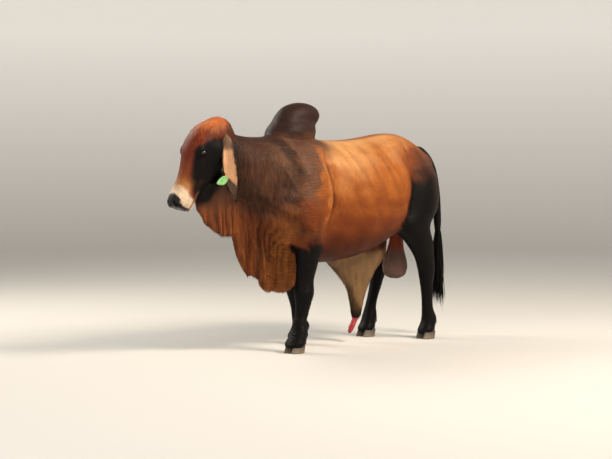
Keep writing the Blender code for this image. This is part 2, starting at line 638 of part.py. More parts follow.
def part_flesh(flesh):
    """The flesh as named nodes, one for each piece that the sheets leave."""
    for cutter in cutting_sheets():
        boolean(flesh, cutter)
    work = bmesh.new()
    work.from_mesh(flesh.data)
    bmesh.ops.triangulate(work, faces=work.faces)
    work.verts.ensure_lookup_table()
    seen, islands = set(), []
    for vert in work.verts:
        if vert.index in seen:
            continue
        stack, island = [vert], []
        seen.add(vert.index)
        while stack:
            v = stack.pop()
            island.append(v.index)
            for edge in v.link_edges:
                o = edge.other_vert(v)
                if o.index not in seen:
                    seen.add(o.index)
                    stack.append(o)
        islands.append(island)
    nodes = {}
    for island in sorted(islands, key=len, reverse=True):
        inside = set(island)
        co = np.array([work.verts[i].co[:] for i in island])
        middle = (co.min(axis=0) + co.max(axis=0)) / 2
        name = min(FLESH_NODES, key=lambda k: np.linalg.norm(middle - np.array(FLESH_NODES[k])))
        if name in nodes or len(island) < 12:
            continue
        number = {i: k for k, i in enumerate(island)}
        faces = [[number[v.index] for v in f.verts] for f in work.faces if f.verts[0].index in inside]
        nodes[name] = new_object(name, co, faces)
    work.free()
    bpy.data.objects.remove(flesh)
    return nodes


def dew_claws(hoof, back):
    """The two small claws behind the fetlock."""
    return [ellipsoid("dew_claw", (hoof[0] + back - 0.008, hoof[1] + side * 0.026, 0.122), (0.017, 0.014, 0.022)) for side in (1, -1)]


def claw(name, hoof, side, margin=0.0):
    """One claw of a cloven hoof: a wall that slopes forward from the coronet to a flat sole."""
    x, y = hoof
    levels, sides = np.linspace(0, 1, 4), 16
    turn = np.linspace(0, 2 * math.pi, sides, endpoint=False)
    rings = []
    for t in levels:
        length = 0.060 - 0.014 * t + margin
        width = 0.031 - 0.004 * t + margin
        c, s = np.cos(turn), np.sin(turn)
        # The toe is the narrow end, and the cleft side is flatter than the outer side
        narrow = 1 - 0.42 * np.clip(-c, 0, 1) ** 1.5
        flat = np.where(s * side < 0, 0.82, 1.05)
        px = x - 0.012 - 0.010 * (1 - t) + 0.012 * t + length * c * np.where(c < 0, 1.12, 0.85)
        py = y + side * (0.0335 + 0.005 * np.clip(-c, 0, 1)) + width * s * narrow * flat
        low, high = (-margin, 0.066 + margin)
        pz = low + (high - low) * t + 0.30 * t * (x - px)
        rings.append(np.stack([px, py, np.broadcast_to(pz, px.shape)], -1))
    obj = new_object(name, np.concatenate(rings), ring_triangles(len(levels), sides))
    outward(obj)
    return obj


def ear_path(side):
    """The ear's middle line, half width, half thickness of its root and depth of its cup."""
    rows = [
        (-1.150, 0.076, 1.442, 0.030, 0.024, 0.0),
        (-1.156, 0.108, 1.442, 0.030, 0.025, 0.0),
        (-1.164, 0.138, 1.426, 0.031, 0.026, 0.10),
        (-1.174, 0.160, 1.390, 0.036, 0.028, 0.50),
        (-1.180, 0.171, 1.337, 0.044, 0.033, 0.95),
        (-1.179, 0.176, 1.275, 0.050, 0.036, 1.0),
        (-1.170, 0.177, 1.212, 0.049, 0.034, 1.0),
        (-1.154, 0.174, 1.150, 0.041, 0.026, 1.0),
        (-1.134, 0.168, 1.092, 0.030, 0.016, 1.0),
        (-1.114, 0.163, 1.044, 0.012, 0.007, 1.0),
    ]
    return [(x, y * side, z, wide, thick, cup) for x, y, z, wide, thick, cup in rows]


def ear(name, side, steps=16, half=7, margin=0.0, rings=None):
    """A long hanging ear, a round root that opens into a trough facing forward and out."""
    rows = spline(ear_path(side), steps)
    centre = rows[:, :3]
    along = unit(np.gradient(centre, axis=0))
    facing = np.array(EAR_FACING) * (1, side, 1)
    across = unit(np.cross(along, facing))
    front = unit(np.cross(across, along))
    s = np.sin(np.linspace(-math.pi / 2, math.pi / 2, half + 2)[1:-1])
    bow = np.sqrt(1 - s**2)
    cup = np.clip(rows[:, 5:6], 0, 1)
    wide, deep = rows[:, 3:4] + margin, rows[:, 4:5]
    back = -deep * bow - margin
    face = (1 - cup) * deep * bow + cup * (0.0085 * bow**0.5 + 0.002 - deep * bow) + margin
    ring_across = np.concatenate([wide * s, (wide * s)[:, ::-1]], axis=1)
    ring_front = np.concatenate([back, face[:, ::-1]], axis=1)
    points = centre[:, None] + across[:, None] * ring_across[..., None] + front[:, None] * ring_front[..., None]
    points = points[:rings]
    points[0] -= along[0] * margin
    obj = new_object(name, points.reshape(-1, 3), ring_triangles(len(points), 2 * half))
    outward(obj)
    return obj


def eye_centre(side):
    return head_point(EYE_DOWN, EYE_OUT, side * EYE_SIDE)


def lid_opening(side):
    """A lens-shaped wedge from the eye's middle outward, as long as the eye is open."""
    outward_axis = unit(np.array([-0.42, 0.90 * side, 0.10]))
    slant = np.array([-math.cos(EYE_SLANT), 0, -math.sin(EYE_SLANT)])
    corner_axis = unit(np.cross(np.cross(outward_axis, slant), outward_axis))
    up_axis = np.cross(corner_axis, outward_axis)
    centre = eye_centre(side)
    rings = []
    for t in np.linspace(-1, 1, 13):
        tall = 0.034 * (1 - t * t) ** 0.8 + 0.0008
        middle = centre + corner_axis * t * 0.0195
        rings += [middle + outward_axis * 0.004, middle + outward_axis * 0.06 + up_axis * tall, middle + outward_axis * 0.06 - up_axis * tall]
    obj = new_object("lid_opening", rings, ring_faces(13, 3))
    outward(obj)
    return obj


def ball(name, centre, radius, around=14, rings=9):
    work = bmesh.new()
    bmesh.ops.create_uvsphere(work, u_segments=around, v_segments=rings, radius=radius)
    bmesh.ops.translate(work, vec=Vector(centre), verts=work.verts)
    obj = new_object(name, [], [])
    work.to_mesh(obj.data)
    work.free()
    return obj


def lock(root, tip, bend, wide, thick, steps=5):
    """A flat tapered lock of hair that bends on its way from root to tip."""
    t = np.linspace(0, 1, steps)[:, None]
    middle = root + (tip - root) * t + bend * (t * (1 - t) * 4)
    along = unit(np.gradient(middle, axis=0))
    out = unit(middle - (np.array([0.930, -0.086, 0]) * (1, 1, 0) + middle * (0, 0, 1)))
    across = unit(np.cross(along, out))
    out = np.cross(across, along)
    size = np.clip(1.02 - t, 0, 1) ** 0.7 * (0.55 + 0.9 * t * (1 - t) * 2) + 0.02
    rings = [middle + across * wide * size, middle + out * thick * size, middle - across * wide * size, middle - out * thick * size]
    obj = new_object("lock", np.stack(rings, 1).reshape(-1, 3), ring_faces(steps, 4))
    outward(obj)
    return obj


def keep_largest(obj):
    """Drops all but the largest closed surface, which fills sealed hollows."""
    work = bmesh.new()
    work.from_mesh(obj.data)
    bmesh.ops.triangulate(work, faces=work.faces)
    left, best = set(work.verts), []
    while left:
        stack = [left.pop()]
        piece = []
        while stack:
            vert = stack.pop()
            piece.append(vert)
            for edge in vert.link_edges:
                other = edge.other_vert(vert)
                if other in left:
                    left.remove(other)
                    stack.append(other)
        if len(piece) > len(best):
            best = piece
    chosen = set(best)
    bmesh.ops.delete(work, geom=[v for v in work.verts if v not in chosen], context="VERTS")
    work.to_mesh(obj.data)
    work.free()


def join_all(name, objects):
    """One Boolean union of closed pieces, of which the largest closed surface is kept."""
    group = bpy.data.collections.new(name + "_pieces")
    bpy.context.scene.collection.children.link(group)
    for obj in objects[1:]:
        bpy.context.scene.collection.objects.unlink(obj)
        group.objects.link(obj)
    base = objects[0]
    union = base.modifiers.new("union", "BOOLEAN")
    union.operation = "UNION"
    union.operand_type = "COLLECTION"
    union.collection = group
    union.solver = "MANIFOLD"
    apply_modifiers(base)
    for obj in objects[1:]:
        bpy.data.objects.remove(obj)
    bpy.data.collections.remove(group)
    base.name = name
    keep_largest(base)
    return base


def tail_switch():
    """The switch: a slim core, and flat locks that hang from it in tiers down to thin tips."""
    draw = np.random.default_rng(7)
    core = tube("core", [(0.931, -0.083, TAIL_END - CUT_GAP / 2, 0.027, 0.026, 0.026), (0.929, -0.086, 0.70, 0.026, 0.026, 0.026),
                         (0.927, -0.088, 0.62, 0.022, 0.022, 0.022), (0.925, -0.090, 0.56, 0.010, 0.010, 0.010)], (-1, 0, 0), 8, 12, 2.0,
                run=(0, 0, -1))
    pieces = [core]
    for tier, (level, reach, count) in enumerate(((0.745, 0.24, 5), (0.69, 0.30, 5), (0.62, 0.34, 4))):
        for i in range(count):
            turn = 2 * math.pi * (i + 0.5 * (tier % 2)) / count + draw.uniform(-0.15, 0.15)
            aside = np.array([math.cos(turn), math.sin(turn), 0])
            root = np.array([0.928, -0.087, level]) + aside * 0.012
            drop = reach * draw.uniform(0.85, 1.18)
            tip = np.array([0.928, -0.088, level - drop]) + aside * draw.uniform(0.008, 0.030) + np.array([0.012, 0, 0]) * tier
            pieces.append(lock(root, tip, aside * 0.020, 0.017 * draw.uniform(0.85, 1.15), 0.006))
    return join_all("tail_switch", pieces)


def prepuce(margin=0.0):
    """The bare red tip that hangs from the sheath."""
    rows = [
        (0.148, 0, 0.175, 0.020, 0.020, 0.020),
        (0.138, 0, 0.150, 0.023, 0.023, 0.023),
        (0.122, 0, 0.125, 0.024, 0.025, 0.025),
        (0.108, 0, 0.100, 0.022, 0.023, 0.023),
        (0.098, 0, 0.078, 0.016, 0.017, 0.017),
        (0.092, 0, 0.066, 0.008, 0.008, 0.008),
    ]
    rows = [(x, y, z, a + margin, b + margin, c + margin) for x, y, z, a, b, c in rows]
    rows[0] = (rows[0][0], 0, rows[0][2] + margin, *rows[0][3:])
    return tube("prepuce", rows, (-1, 0, 0), 9, 12, 2.0, run=(0, 0, -1))


def tag_frame():
    """Where the pin goes through the left ear: a point on the ear's front, the way that it faces, and its edge."""
    rows = spline(ear_path(-1), 22)
    row = rows[np.abs(rows[:, 2] - TAG_LEVEL).argmin()]
    along = unit(np.gradient(rows[:, :3], axis=0))[np.abs(rows[:, 2] - TAG_LEVEL).argmin()]
    across = unit(np.cross(along, np.array(EAR_FACING) * (1, -1, 1)))
    front = unit(np.cross(across, along))
    if across[0] > 0:
        across = -across
    return row[:3] + across * row[3] * 0.78, front, across, row[4]


def disc(name, centre, axis, radius, ends, sides=20):
    """A round bar along an axis, from one distance to another."""
    side = unit(np.cross(axis, (0, 0, 1)))
    up = np.cross(side, axis)
    turn = np.linspace(0, 2 * math.pi, sides, endpoint=False)
    ring = side * np.cos(turn)[:, None] * radius + up * np.sin(turn)[:, None] * radius
    obj = new_object(name, np.concatenate([centre + axis * e + ring for e in ends]), ring_faces(2, sides))
    outward(obj)
    return obj


def ear_tag():
    """A leaf-shaped plate held by a pin with a round button behind the ear."""
    centre, front, across, deep = tag_frame()
    up = np.cross(across, front)
    up = up * np.sign(up[2])
    turn = np.linspace(0, 2 * math.pi, 28, endpoint=False)
    # The plate hangs from its upper end and comes to a point at its forward end
    leaf_across = 0.030 * np.cos(turn) + 0.009 * np.cos(turn) ** 3 + 0.024
    leaf_up = 0.027 * np.sin(turn) * (1 - 0.25 * np.cos(turn)) - 0.020 - 0.30 * (leaf_across - 0.024)
    ring = across * leaf_across[:, None] + up * leaf_up[:, None]
    rings = np.concatenate([centre + front * level + ring for level in (0.0040, 0.0062)])
    plate = new_object("plate", rings, ring_faces(2, 28))
    outward(plate)
    back = -deep - 0.0040
    pin = disc("pin", centre, front, 0.003, (back - 0.001, 0.005), 12)
    button = disc("button", centre, front, 0.010, (back - 0.003, back), 18)
    boss = disc("boss", centre, front, 0.009, (0.0030, 0.0085), 18)
    return join_all("ear_tag", [plate, pin, button, boss])


def finish(obj, colour, roughness=0.7):
    """The object's material, and its surface shaded smooth but for sharp edges."""
    material = bpy.data.materials.new(obj.name)
    material.use_nodes = True
    shader = material.node_tree.nodes["Principled BSDF"]
    shader.inputs["Base Color"].default_value = (*colour, 1)
    shader.inputs["Roughness"].default_value = roughness
    obj.data.materials.clear()
    obj.data.materials.append(material)
    obj.data.shade_smooth()
    obj.data.set_sharp_from_angle(angle=math.radians(50))


def main():
    clear_scene()
    flesh = shape_flesh(VOXEL, 14)
    thin_out(flesh, SKIN_TRIANGLES)
    nodes = part_flesh(flesh)
    for obj in nodes.values():
        finish(obj, RED_COAT)
    for label, (hoof, foot) in {
        "left_fore": (LEFT_FORE, "left_fore_foot"),
        "right_fore": (RIGHT_FORE, "right_fore_foot"),
        "left_hind": (LEFT_HIND, "left_hind_foot"),
        "right_hind": (RIGHT_HIND, "right_hind_foot"),
    }.items():
        for side, place in ((-1, "left"), (1, "right")):
            boolean(nodes[foot], claw("cutter", hoof, side, CUT_GAP))
            finish(claw(f"{label}_{place}_claw", hoof, side), HOOF, 0.4)
    for side, label in ((-1, "left"), (1, "right")):
        boolean(nodes["head"], ball("lids", eye_centre(side), LID_RADIUS), "UNION")
        boolean(nodes["head"], lid_opening(side))
        boolean(nodes["head"], ball("socket", eye_centre(side), EYE_RADIUS + CUT_GAP))
        boolean(nodes["head"], ear("ear_socket", side, margin=CUT_GAP, rings=8))
        finish(ball(label + "_eye", eye_centre(side), EYE_RADIUS), EYE_COLOUR, 0.1)
        pendant = ear(label + "_ear", side)
        if side < 0:
            centre, front, across, deep = tag_frame()
            boolean(pendant, disc("hole", centre, front, 0.003 + CUT_GAP, (-deep - 0.02, 0.02), 12))
        finish(pendant, RED_COAT)
    finish(ear_tag(), TAG_GREEN, 0.45)
    boolean(nodes["sheath"], prepuce(CUT_GAP))
    finish(prepuce(), PREPUCE_RED, 0.5)
    finish(tail_switch(), BLACK_COAT)
    for obj in list(bpy.context.scene.objects):
        set_points(obj, points_of(obj) - np.array([MID_LENGTH_X, 0, 0]))


main()
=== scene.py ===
"""A brahman bull in a slow step, life size, as a museum model with its coat on.

The flesh is drawn in the same frame as its solids, with x from the muzzle (-) to the tail (+),
y to the animal's right and z up, and is moved by SHIFT at the end, so that x = 0 is mid-length.
"""

import math

import bpy
import numpy as np
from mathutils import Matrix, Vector


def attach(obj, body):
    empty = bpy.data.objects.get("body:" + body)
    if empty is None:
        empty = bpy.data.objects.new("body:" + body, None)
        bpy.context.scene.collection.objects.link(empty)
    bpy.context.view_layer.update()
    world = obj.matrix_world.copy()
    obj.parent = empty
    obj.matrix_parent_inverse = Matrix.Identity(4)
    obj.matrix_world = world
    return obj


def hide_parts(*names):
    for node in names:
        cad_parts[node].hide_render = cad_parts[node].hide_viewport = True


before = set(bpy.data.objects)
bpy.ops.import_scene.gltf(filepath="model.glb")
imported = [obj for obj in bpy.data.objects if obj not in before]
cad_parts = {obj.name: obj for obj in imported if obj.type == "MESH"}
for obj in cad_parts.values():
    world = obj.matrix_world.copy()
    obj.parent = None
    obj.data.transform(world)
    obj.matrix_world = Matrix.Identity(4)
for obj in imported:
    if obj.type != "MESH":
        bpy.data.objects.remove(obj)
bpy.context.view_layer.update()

SHIFT = np.array([0.2715, 0.0, 0.0])
# The skin's mesh: its step, how many times finer it is on the head, and the share of faces kept elsewhere
VOXEL = 0.0130
HEAD_ZOOM = 2.6
SKIN_SHARE = 0.70
HEAD_MIDDLE = np.array([-1.30, 0.0, 1.27])
HEAD_REACH = 0.36
# How far the skin lies under the coat, how many short tufts there are, and how much they lean and differ
COAT_DEPTH = 0.0030
COAT_TUFTS = 150000
TUFT_LEAN = 0.04
TUFT_SHADE = 0.06
# By how much distance across the animal counts beside a path on its flank
FLANK_SHARE = 0.2

# The middle of each hoof, then x of its knee or hock and of its elbow or stifle, and y of the elbow
LEFT_FORE = (-0.60, -0.20)
RIGHT_FORE = (-0.235, 0.175)
LEFT_HIND = (0.70, -0.195)
RIGHT_HIND = (0.484, 0.204)
FORE_LEGS = ((LEFT_FORE, -0.535, -0.52, -0.225), (RIGHT_FORE, -0.275, -0.385, 0.215))
HIND_LEGS = ((LEFT_HIND, 0.680, 0.45), (RIGHT_HIND, 0.590, 0.38))
LEGS = dict(zip(("left_fore", "right_fore", "left_hind", "right_hind"), FORE_LEGS + HIND_LEGS))

POLL = np.array([-1.135, 0.0, 1.575])
HEAD_PITCH = math.radians(56)
FACE_DOWN = np.array([-math.cos(HEAD_PITCH), 0.0, -math.sin(HEAD_PITCH)])
FACE_OUT = np.array([-math.sin(HEAD_PITCH), 0.0, math.cos(HEAD_PITCH)])
EYE_DOWN, EYE_OUT, EYE_SIDE = 0.300, 0.036, 0.095
EYE_RADIUS = 0.0215
LID_RADIUS = 0.0258
EYE_SLANT = math.radians(24)
EAR_FACING = (-0.80, 0.60, 0.12)
TAG_LEVEL = 1.185

# The photo's width, height, horizon row and focal length in pixels, and the sensor's width in millimetres
PHOTO_WIDTH, PHOTO_HEIGHT, HORIZON, FOCAL = 612, 459, 160, 1600
SENSOR = 36
# How far the studio's floor is flat, and the radius of the curve that lifts it into a wall
FLAT_RADIUS, WALL_CURVE = 12.5, 5.0


def linear(colour):
    """An sRGB hex colour as three linear values."""
    c = np.array([int(colour[i:i + 2], 16) for i in (1, 3, 5)]) / 255
    return np.where(c <= 0.04045, c / 12.92, ((c + 0.055) / 1.055) ** 2.4)


def unit(v):
    """Vectors made one long."""
    return v / np.maximum(np.linalg.norm(v, axis=-1, keepdims=True), 1e-12)


def full_turn(count):
    """Even angles round a full turn."""
    return np.linspace(0, 2 * math.pi, count, endpoint=False)


def fade(x, a, b):
    """0 at a, 1 at b, with a soft start and end."""
    t = np.clip((x - a) / (b - a), 0, 1)
    return t * t * (3 - 2 * t)


def head_point(down, out, side=0.0):
    """A point given along the face, out of the forehead and to the right."""
    return POLL + down * FACE_DOWN + out * FACE_OUT + np.array([0.0, side, 0.0])


def face_place(p):
    """How far each point is down the face and out of the forehead."""
    d = p - POLL
    return d @ FACE_DOWN, d @ FACE_OUT


def spline(rows, steps):
    """Even samples of a cubic through the rows, whose slopes are those of their neighbours' chords."""
    rows = np.array(rows, float)
    run = np.r_[0, np.cumsum(np.linalg.norm(np.diff(rows[:, :3], axis=0), axis=1))]
    slope = np.gradient(rows, run, axis=0)
    at = np.linspace(0, run[-1], steps)
    i = np.clip(np.searchsorted(run, at, side="right") - 1, 0, len(run) - 2)
    span = (run[i + 1] - run[i])[:, None]
    u = (at - run[i])[:, None] / span
    return (
        (1 + 2 * u) * (1 - u) ** 2 * rows[i]
        + u * (1 - u) ** 2 * span * slope[i]
        + u * u * (3 - 2 * u) * rows[i + 1]
        + u * u * (u - 1) * span * slope[i + 1]
    )


def shell(rings):
    """Rings of points, as an array (ring, point, axis), joined by quads, with a flat cap at each end."""
    count, sides = rings.shape[:2]
    r, s = np.meshgrid(np.arange(count - 1), np.arange(sides), indexing="ij")
    a, b = r * sides + s, r * sides + (s + 1) % sides
    faces = np.stack([a, b, b + sides, a + sides], -1).reshape(-1, 4).tolist()
    last = (count - 1) * sides
    faces += [list(range(sides))[::-1], list(range(last, last + sides))]
    points = rings.reshape(-1, 3)
    middle = rings.mean(axis=1)
    # The rings turn one way seen along the path, and the faces are flipped where that is inward
    area = np.cross(rings[count // 2], np.roll(rings[count // 2], -1, axis=0)).sum(0)
    if area @ (middle[min(count // 2 + 1, count - 1)] - middle[count // 2 - 1]) < 0:
        faces = [f[::-1] for f in faces]
    return points, faces


def make(name, parts):
    """One mesh object from pairs of points and faces."""
    points, faces, start = [], [], 0
    for p, f in parts:
        points.append(p)
        faces += [[i + start for i in face] for face in f] if start else list(f)
        start += len(p)
    mesh = bpy.data.meshes.new(name)
    mesh.from_pydata(np.concatenate(points).tolist(), [], faces)
    mesh.update()
    obj = bpy.data.objects.new(name, mesh)
    bpy.context.scene.collection.objects.link(obj)
    return obj


def tube(rows, up, steps=48, sides=36, power=2.2, run=None):
    """A tube along a path: each row is a centre, half width, and half depths towards and away from up.

    A section is the curve |x/w|^power + |z/d|^power = 1, square to the path or to run.
    """
    rows = spline(rows, steps)
    centre, wide, rise, drop = rows[:, :3], rows[:, 3], rows[:, 4], rows[:, 5]
    if run is None:
        along = unit(np.gradient(centre, axis=0))
    else:
        along = np.broadcast_to(np.array(run, float), centre.shape)
    across = unit(np.cross(along, np.array(up, float)))
    lift = np.cross(across, along)
    turn = full_turn(sides)
    c, s = (np.sign(f) * np.abs(f) ** (2 / power) for f in (np.cos(turn), np.sin(turn)))
    depth = np.where(c > 0, rise[:, None], drop[:, None]) * c
    aside = across[:, None] * (wide[:, None] * s)[..., None]
    return shell(centre[:, None] + aside + lift[:, None] * depth[..., None])


def ellipsoid(centre, radii, pitch=0.0, around=40, rings=24):
    """Points (cos a cos b, sin a cos b, sin b) times the radii, whose long axis dips by pitch about y."""
    b = np.linspace(-math.pi / 2 + 0.03, math.pi / 2 - 0.03, rings)[:, None]
    a = full_turn(around)[None]
    p = np.stack([np.cos(a) * np.cos(b), np.sin(a) * np.cos(b), np.sin(b) + 0 * a], -1) * np.array(radii)
    c, s = math.cos(pitch), math.sin(pitch)
    turned = np.stack([p[..., 0] * c + p[..., 2] * s, p[..., 1], -p[..., 0] * s + p[..., 2] * c], -1)
    return shell(turned + np.array(centre))


def level_rows(rows):
    """Rows of x, middle, half width, top and bottom, as rows for a tube."""
    return [(x, 0, z, w, top - z, z - low) for x, z, w, top, low in rows]


def trunk():
    """Rump, barrel and chest: x, level of the widest place, half width, top and bottom."""
    rows = [
        (0.852, 1.21, 0.05, 1.26, 1.13),
        (0.82, 1.20, 0.115, 1.330, 1.05),
        (0.76, 1.15, 0.19, 1.378, 0.93),
        (0.66, 1.11, 0.240, 1.440, 0.85),
        (0.52, 1.08, 0.262, 1.492, 0.79),
        (0.43, 1.06, 0.280, 1.497, 0.755),
        (0.36, 1.04, 0.345, 1.490, 0.730),
        (0.25, 1.01, 0.372, 1.472, 0.685),
        (0.08, 0.98, 0.385, 1.450, 0.625),
        (-0.10, 0.97, 0.382, 1.440, 0.590),
        (-0.28, 0.98, 0.352, 1.445, 0.585),
        (-0.46, 1.00, 0.318, 1.455, 0.620),
        (-0.64, 1.02, 0.285, 1.455, 0.690),
        (-0.80, 1.05, 0.215, 1.420, 0.790),
        (-0.90, 1.07, 0.110, 1.300, 0.890),
        (-0.93, 1.08, 0.040, 1.160, 1.000),
    ]
    return tube(level_rows(rows), (0, 0, 1), 96, 72, 2.25, run=(-1, 0, 0))


def neck():
    """The neck: x, middle, half width, crest and throat."""
    rows = [
        (-0.45, 1.15, 0.20, 1.40, 0.80),
        (-0.62, 1.14, 0.225, 1.465, 0.80),
        (-0.78, 1.17, 0.215, 1.458, 0.86),
        (-0.90, 1.21, 0.190, 1.460, 0.93),
        (-1.00, 1.26, 0.160, 1.475, 1.01),
        (-1.09, 1.31, 0.130, 1.508, 1.09),
        (-1.16, 1.34, 0.105, 1.525, 1.15),
    ]
    return tube(level_rows(rows), (0, 0, 1), 60, 60, 2.1, run=(-1, 0, 0))


def skull():
    """Forehead, face, jaw and muzzle: how far down the face, middle, half width, face line and jaw line."""
    rows = [
        (-0.005, -0.10, 0.045, -0.040, -0.165),
        (0.02, -0.09, 0.085, -0.008, -0.190),
        (0.07, -0.06, 0.113, 0.042, -0.205),
        (0.14, -0.04, 0.122, 0.098, -0.215),
        (0.22, -0.03, 0.120, 0.120, -0.220),
        (0.29, -0.03, 0.108, 0.113, -0.212),
        (0.36, -0.04, 0.092, 0.087, -0.190),
        (0.43, -0.05, 0.079, 0.064, -0.168),
        (0.50, -0.055, 0.072, 0.050, -0.148),
        (0.555, -0.05, 0.074, 0.044, -0.136),
        (0.605, -0.045, 0.079, 0.040, -0.134),
        (0.640, -0.045, 0.077, 0.033, -0.132),
        (0.665, -0.045, 0.066, 0.017, -0.118),
        (0.680, -0.048, 0.045, -0.006, -0.092),
    ]
    rows = [(*head_point(down, mid), wide, top - mid, mid - low) for down, mid, wide, top, low in rows]
    return tube(rows, FACE_OUT, 110, 72, 2.3)


def orbit(side):
    """The bony ring that carries the eye and the brow."""
    return ellipsoid(head_point(EYE_DOWN - 0.014, EYE_OUT, side * (EYE_SIDE - 0.024)), (0.062, 0.036, 0.056))


def fore_leg(hoof, knee_x, elbow_x, elbow_y):
    """A fore leg down to the coronet: centre, half width, half depths in front and behind."""
    x, y = hoof
    side = math.copysign(1, y)
    rows = [
        (elbow_x - 0.03, elbow_y - 0.03 * side, 1.16, 0.09, 0.13, 0.15),
        (elbow_x - 0.03, elbow_y, 1.00, 0.100, 0.150, 0.16),
        (elbow_x, elbow_y + 0.012 * side, 0.84, 0.098, 0.130, 0.145),
        (elbow_x * 0.7 + knee_x * 0.3, elbow_y, 0.71, 0.086, 0.100, 0.105),
        (elbow_x * 0.4 + knee_x * 0.6, elbow_y * 0.6 + y * 0.4, 0.58, 0.070, 0.076, 0.078),
        (elbow_x * 0.12 + knee_x * 0.88, y, 0.48, 0.062, 0.065, 0.066),
        (knee_x, y, 0.40, 0.069, 0.074, 0.064),
        (knee_x * 0.85 + x * 0.15, y, 0.33, 0.056, 0.056, 0.054),
        (knee_x * 0.6 + x * 0.4, y, 0.26, 0.047, 0.043, 0.049),
        (knee_x * 0.25 + x * 0.75, y, 0.19, 0.051, 0.045, 0.052),
        (x + 0.012, y, 0.135, 0.067, 0.055, 0.064),
        (x - 0.005, y, 0.095, 0.068, 0.058, 0.056),
        (x - 0.02, y, 0.055, 0.073, 0.070, 0.062),
        (x - 0.025, y, 0.035, 0.060, 0.060, 0.050),
    ]
    return tube(rows, (-1, 0, 0), 90, 44, 2.2, run=(0, 0, -1))


def hind_leg(hoof, hock_x, stifle_x):
    """A hind leg from inside the rump to the coronet."""
    x, y = hoof
    side = math.copysign(1, y)
    ham_x = stifle_x + 0.06
    rows = [
        (ham_x + 0.05, 0.16 * side, 1.26, 0.11, 0.15, 0.20),
        (ham_x + 0.06, 0.18 * side, 1.10, 0.122, 0.16, 0.22),
        (ham_x + 0.04, 0.200 * side, 0.95, 0.120, 0.15, 0.20),
        (stifle_x + 0.04, 0.214 * side, 0.83, 0.106, 0.145, 0.175),
        (stifle_x * 0.45 + hock_x * 0.55, 0.222 * side, 0.70, 0.086, 0.105, 0.125),
        (stifle_x * 0.15 + hock_x * 0.85, 0.21 * side, 0.59, 0.064, 0.080, 0.085),
        (hock_x, y, 0.50, 0.058, 0.066, 0.076),
        (hock_x * 0.85 + x * 0.15, y, 0.42, 0.050, 0.052, 0.058),
        (hock_x * 0.5 + x * 0.5, y, 0.31, 0.044, 0.041, 0.047),
        (hock_x * 0.2 + x * 0.8, y, 0.21, 0.046, 0.042, 0.048),
        (x + 0.010, y, 0.145, 0.060, 0.051, 0.060),
        (x - 0.005, y, 0.100, 0.060, 0.053, 0.052),
        (x - 0.02, y, 0.055, 0.066, 0.064, 0.057),
        (x - 0.025, y, 0.035, 0.055, 0.055, 0.045),
    ]
    return tube(rows, (-1, 0, 0), 90, 44, 2.2, run=(0, 0, -1))


def hump():
    """The hump leans back over the withers, with its rear end hanging free."""
    return [
        ellipsoid((-0.410, 0, 1.600), (0.188, 0.108, 0.100), math.radians(-4)),
        ellipsoid((-0.485, 0, 1.560), (0.150, 0.112, 0.110), math.radians(-24)),
        ellipsoid((-0.480, 0, 1.485), (0.205, 0.150, 0.125), math.radians(-8)),
    ]


def dewlap():
    """A pleated curtain of skin from the jaw to the brisket.

    Each row is x, root level, hem level, root and hem half thickness; the curtain's middle sways by two
    sines of x that grow towards the hem, and a third sine swells and narrows it into folds.
    """
    rows = [
        (-1.305, 1.075, 0.975, 0.045, 0.014),
        (-1.24, 1.14, 0.895, 0.060, 0.016),
        (-1.17, 1.17, 0.815, 0.070, 0.018),
        (-1.09, 1.14, 0.783, 0.075, 0.019),
        (-1.025, 1.13, 0.790, 0.090, 0.019),
        (-0.995, 1.11, 0.815, 0.095, 0.019),
        (-0.965, 1.08, 0.720, 0.110, 0.022),
        (-0.92, 1.03, 0.575, 0.120, 0.026),
        (-0.865, 0.98, 0.500, 0.125, 0.030),
        (-0.815, 0.92, 0.512, 0.122, 0.032),
        (-0.77, 0.88, 0.450, 0.118, 0.036),
        (-0.70, 0.82, 0.393, 0.112, 0.040),
        (-0.645, 0.79, 0.415, 0.108, 0.042),
        (-0.58, 0.76, 0.388, 0.105, 0.044),
        (-0.50, 0.73, 0.400, 0.100, 0.042),
        (-0.43, 0.70, 0.475, 0.095, 0.036),
        (-0.37, 0.68, 0.600, 0.080, 0.026),
    ]
    rows = np.array(rows)
    at = np.linspace(0, 1, 150)
    known = np.linspace(0, 1, len(rows))
    x, root, hem, thick, thin = (np.interp(at, known, column)[:, None] for column in rows.T)
    hem[:, 0] = np.convolve(np.pad(hem[:, 0], 5, mode="edge"), np.ones(11) / 11, "valid")
    fall = np.linspace(0, 1, 36)[None]
    z = root + (hem - root) * fall
    half = thin + (thick - thin) * (1 - fall) ** 1.6
    half = half * np.sqrt(np.clip(1 - np.clip((fall - 0.9) / 0.1, 0, 1) ** 2, 0.02, 1))
    run = x * 2 * math.pi
    pleat = 0.013 * fall * np.sin(run * 8.3 + 2 * fall) + 0.020 * fall * np.sin(run * 3.1 + 1)
    half = half * (1 + 0.32 * fall * np.sin(run * 13 + 2.2 * np.sin(run * 4)))
    left = np.stack([x + 0 * z, pleat - half, z], -1)
    right = np.stack([x + 0 * z, pleat + half, z], -1)
    return shell(np.concatenate([left, right[:, ::-1]], axis=1))


def sheath():
    """The hanging sheath: x, 0, level, half width, half depths in front and behind."""
    rows = [
        (0.13, 0, 0.82, 0.085, 0.26, 0.34),
        (0.13, 0, 0.70, 0.100, 0.30, 0.33),
        (0.13, 0, 0.60, 0.090, 0.28, 0.31),
        (0.15, 0, 0.50, 0.072, 0.19, 0.190),
        (0.162, 0, 0.40, 0.052, 0.105, 0.112),
        (0.160, 0, 0.31, 0.045, 0.066, 0.068),
        (0.158, 0, 0.24, 0.040, 0.050, 0.050),
        (0.156, 0, 0.19, 0.034, 0.039, 0.039),
        (0.154, 0, 0.165, 0.024, 0.027, 0.027),
    ]
    return tube(rows, (-1, 0, 0), 64, 40, 2.1, run=(0, 0, -1))


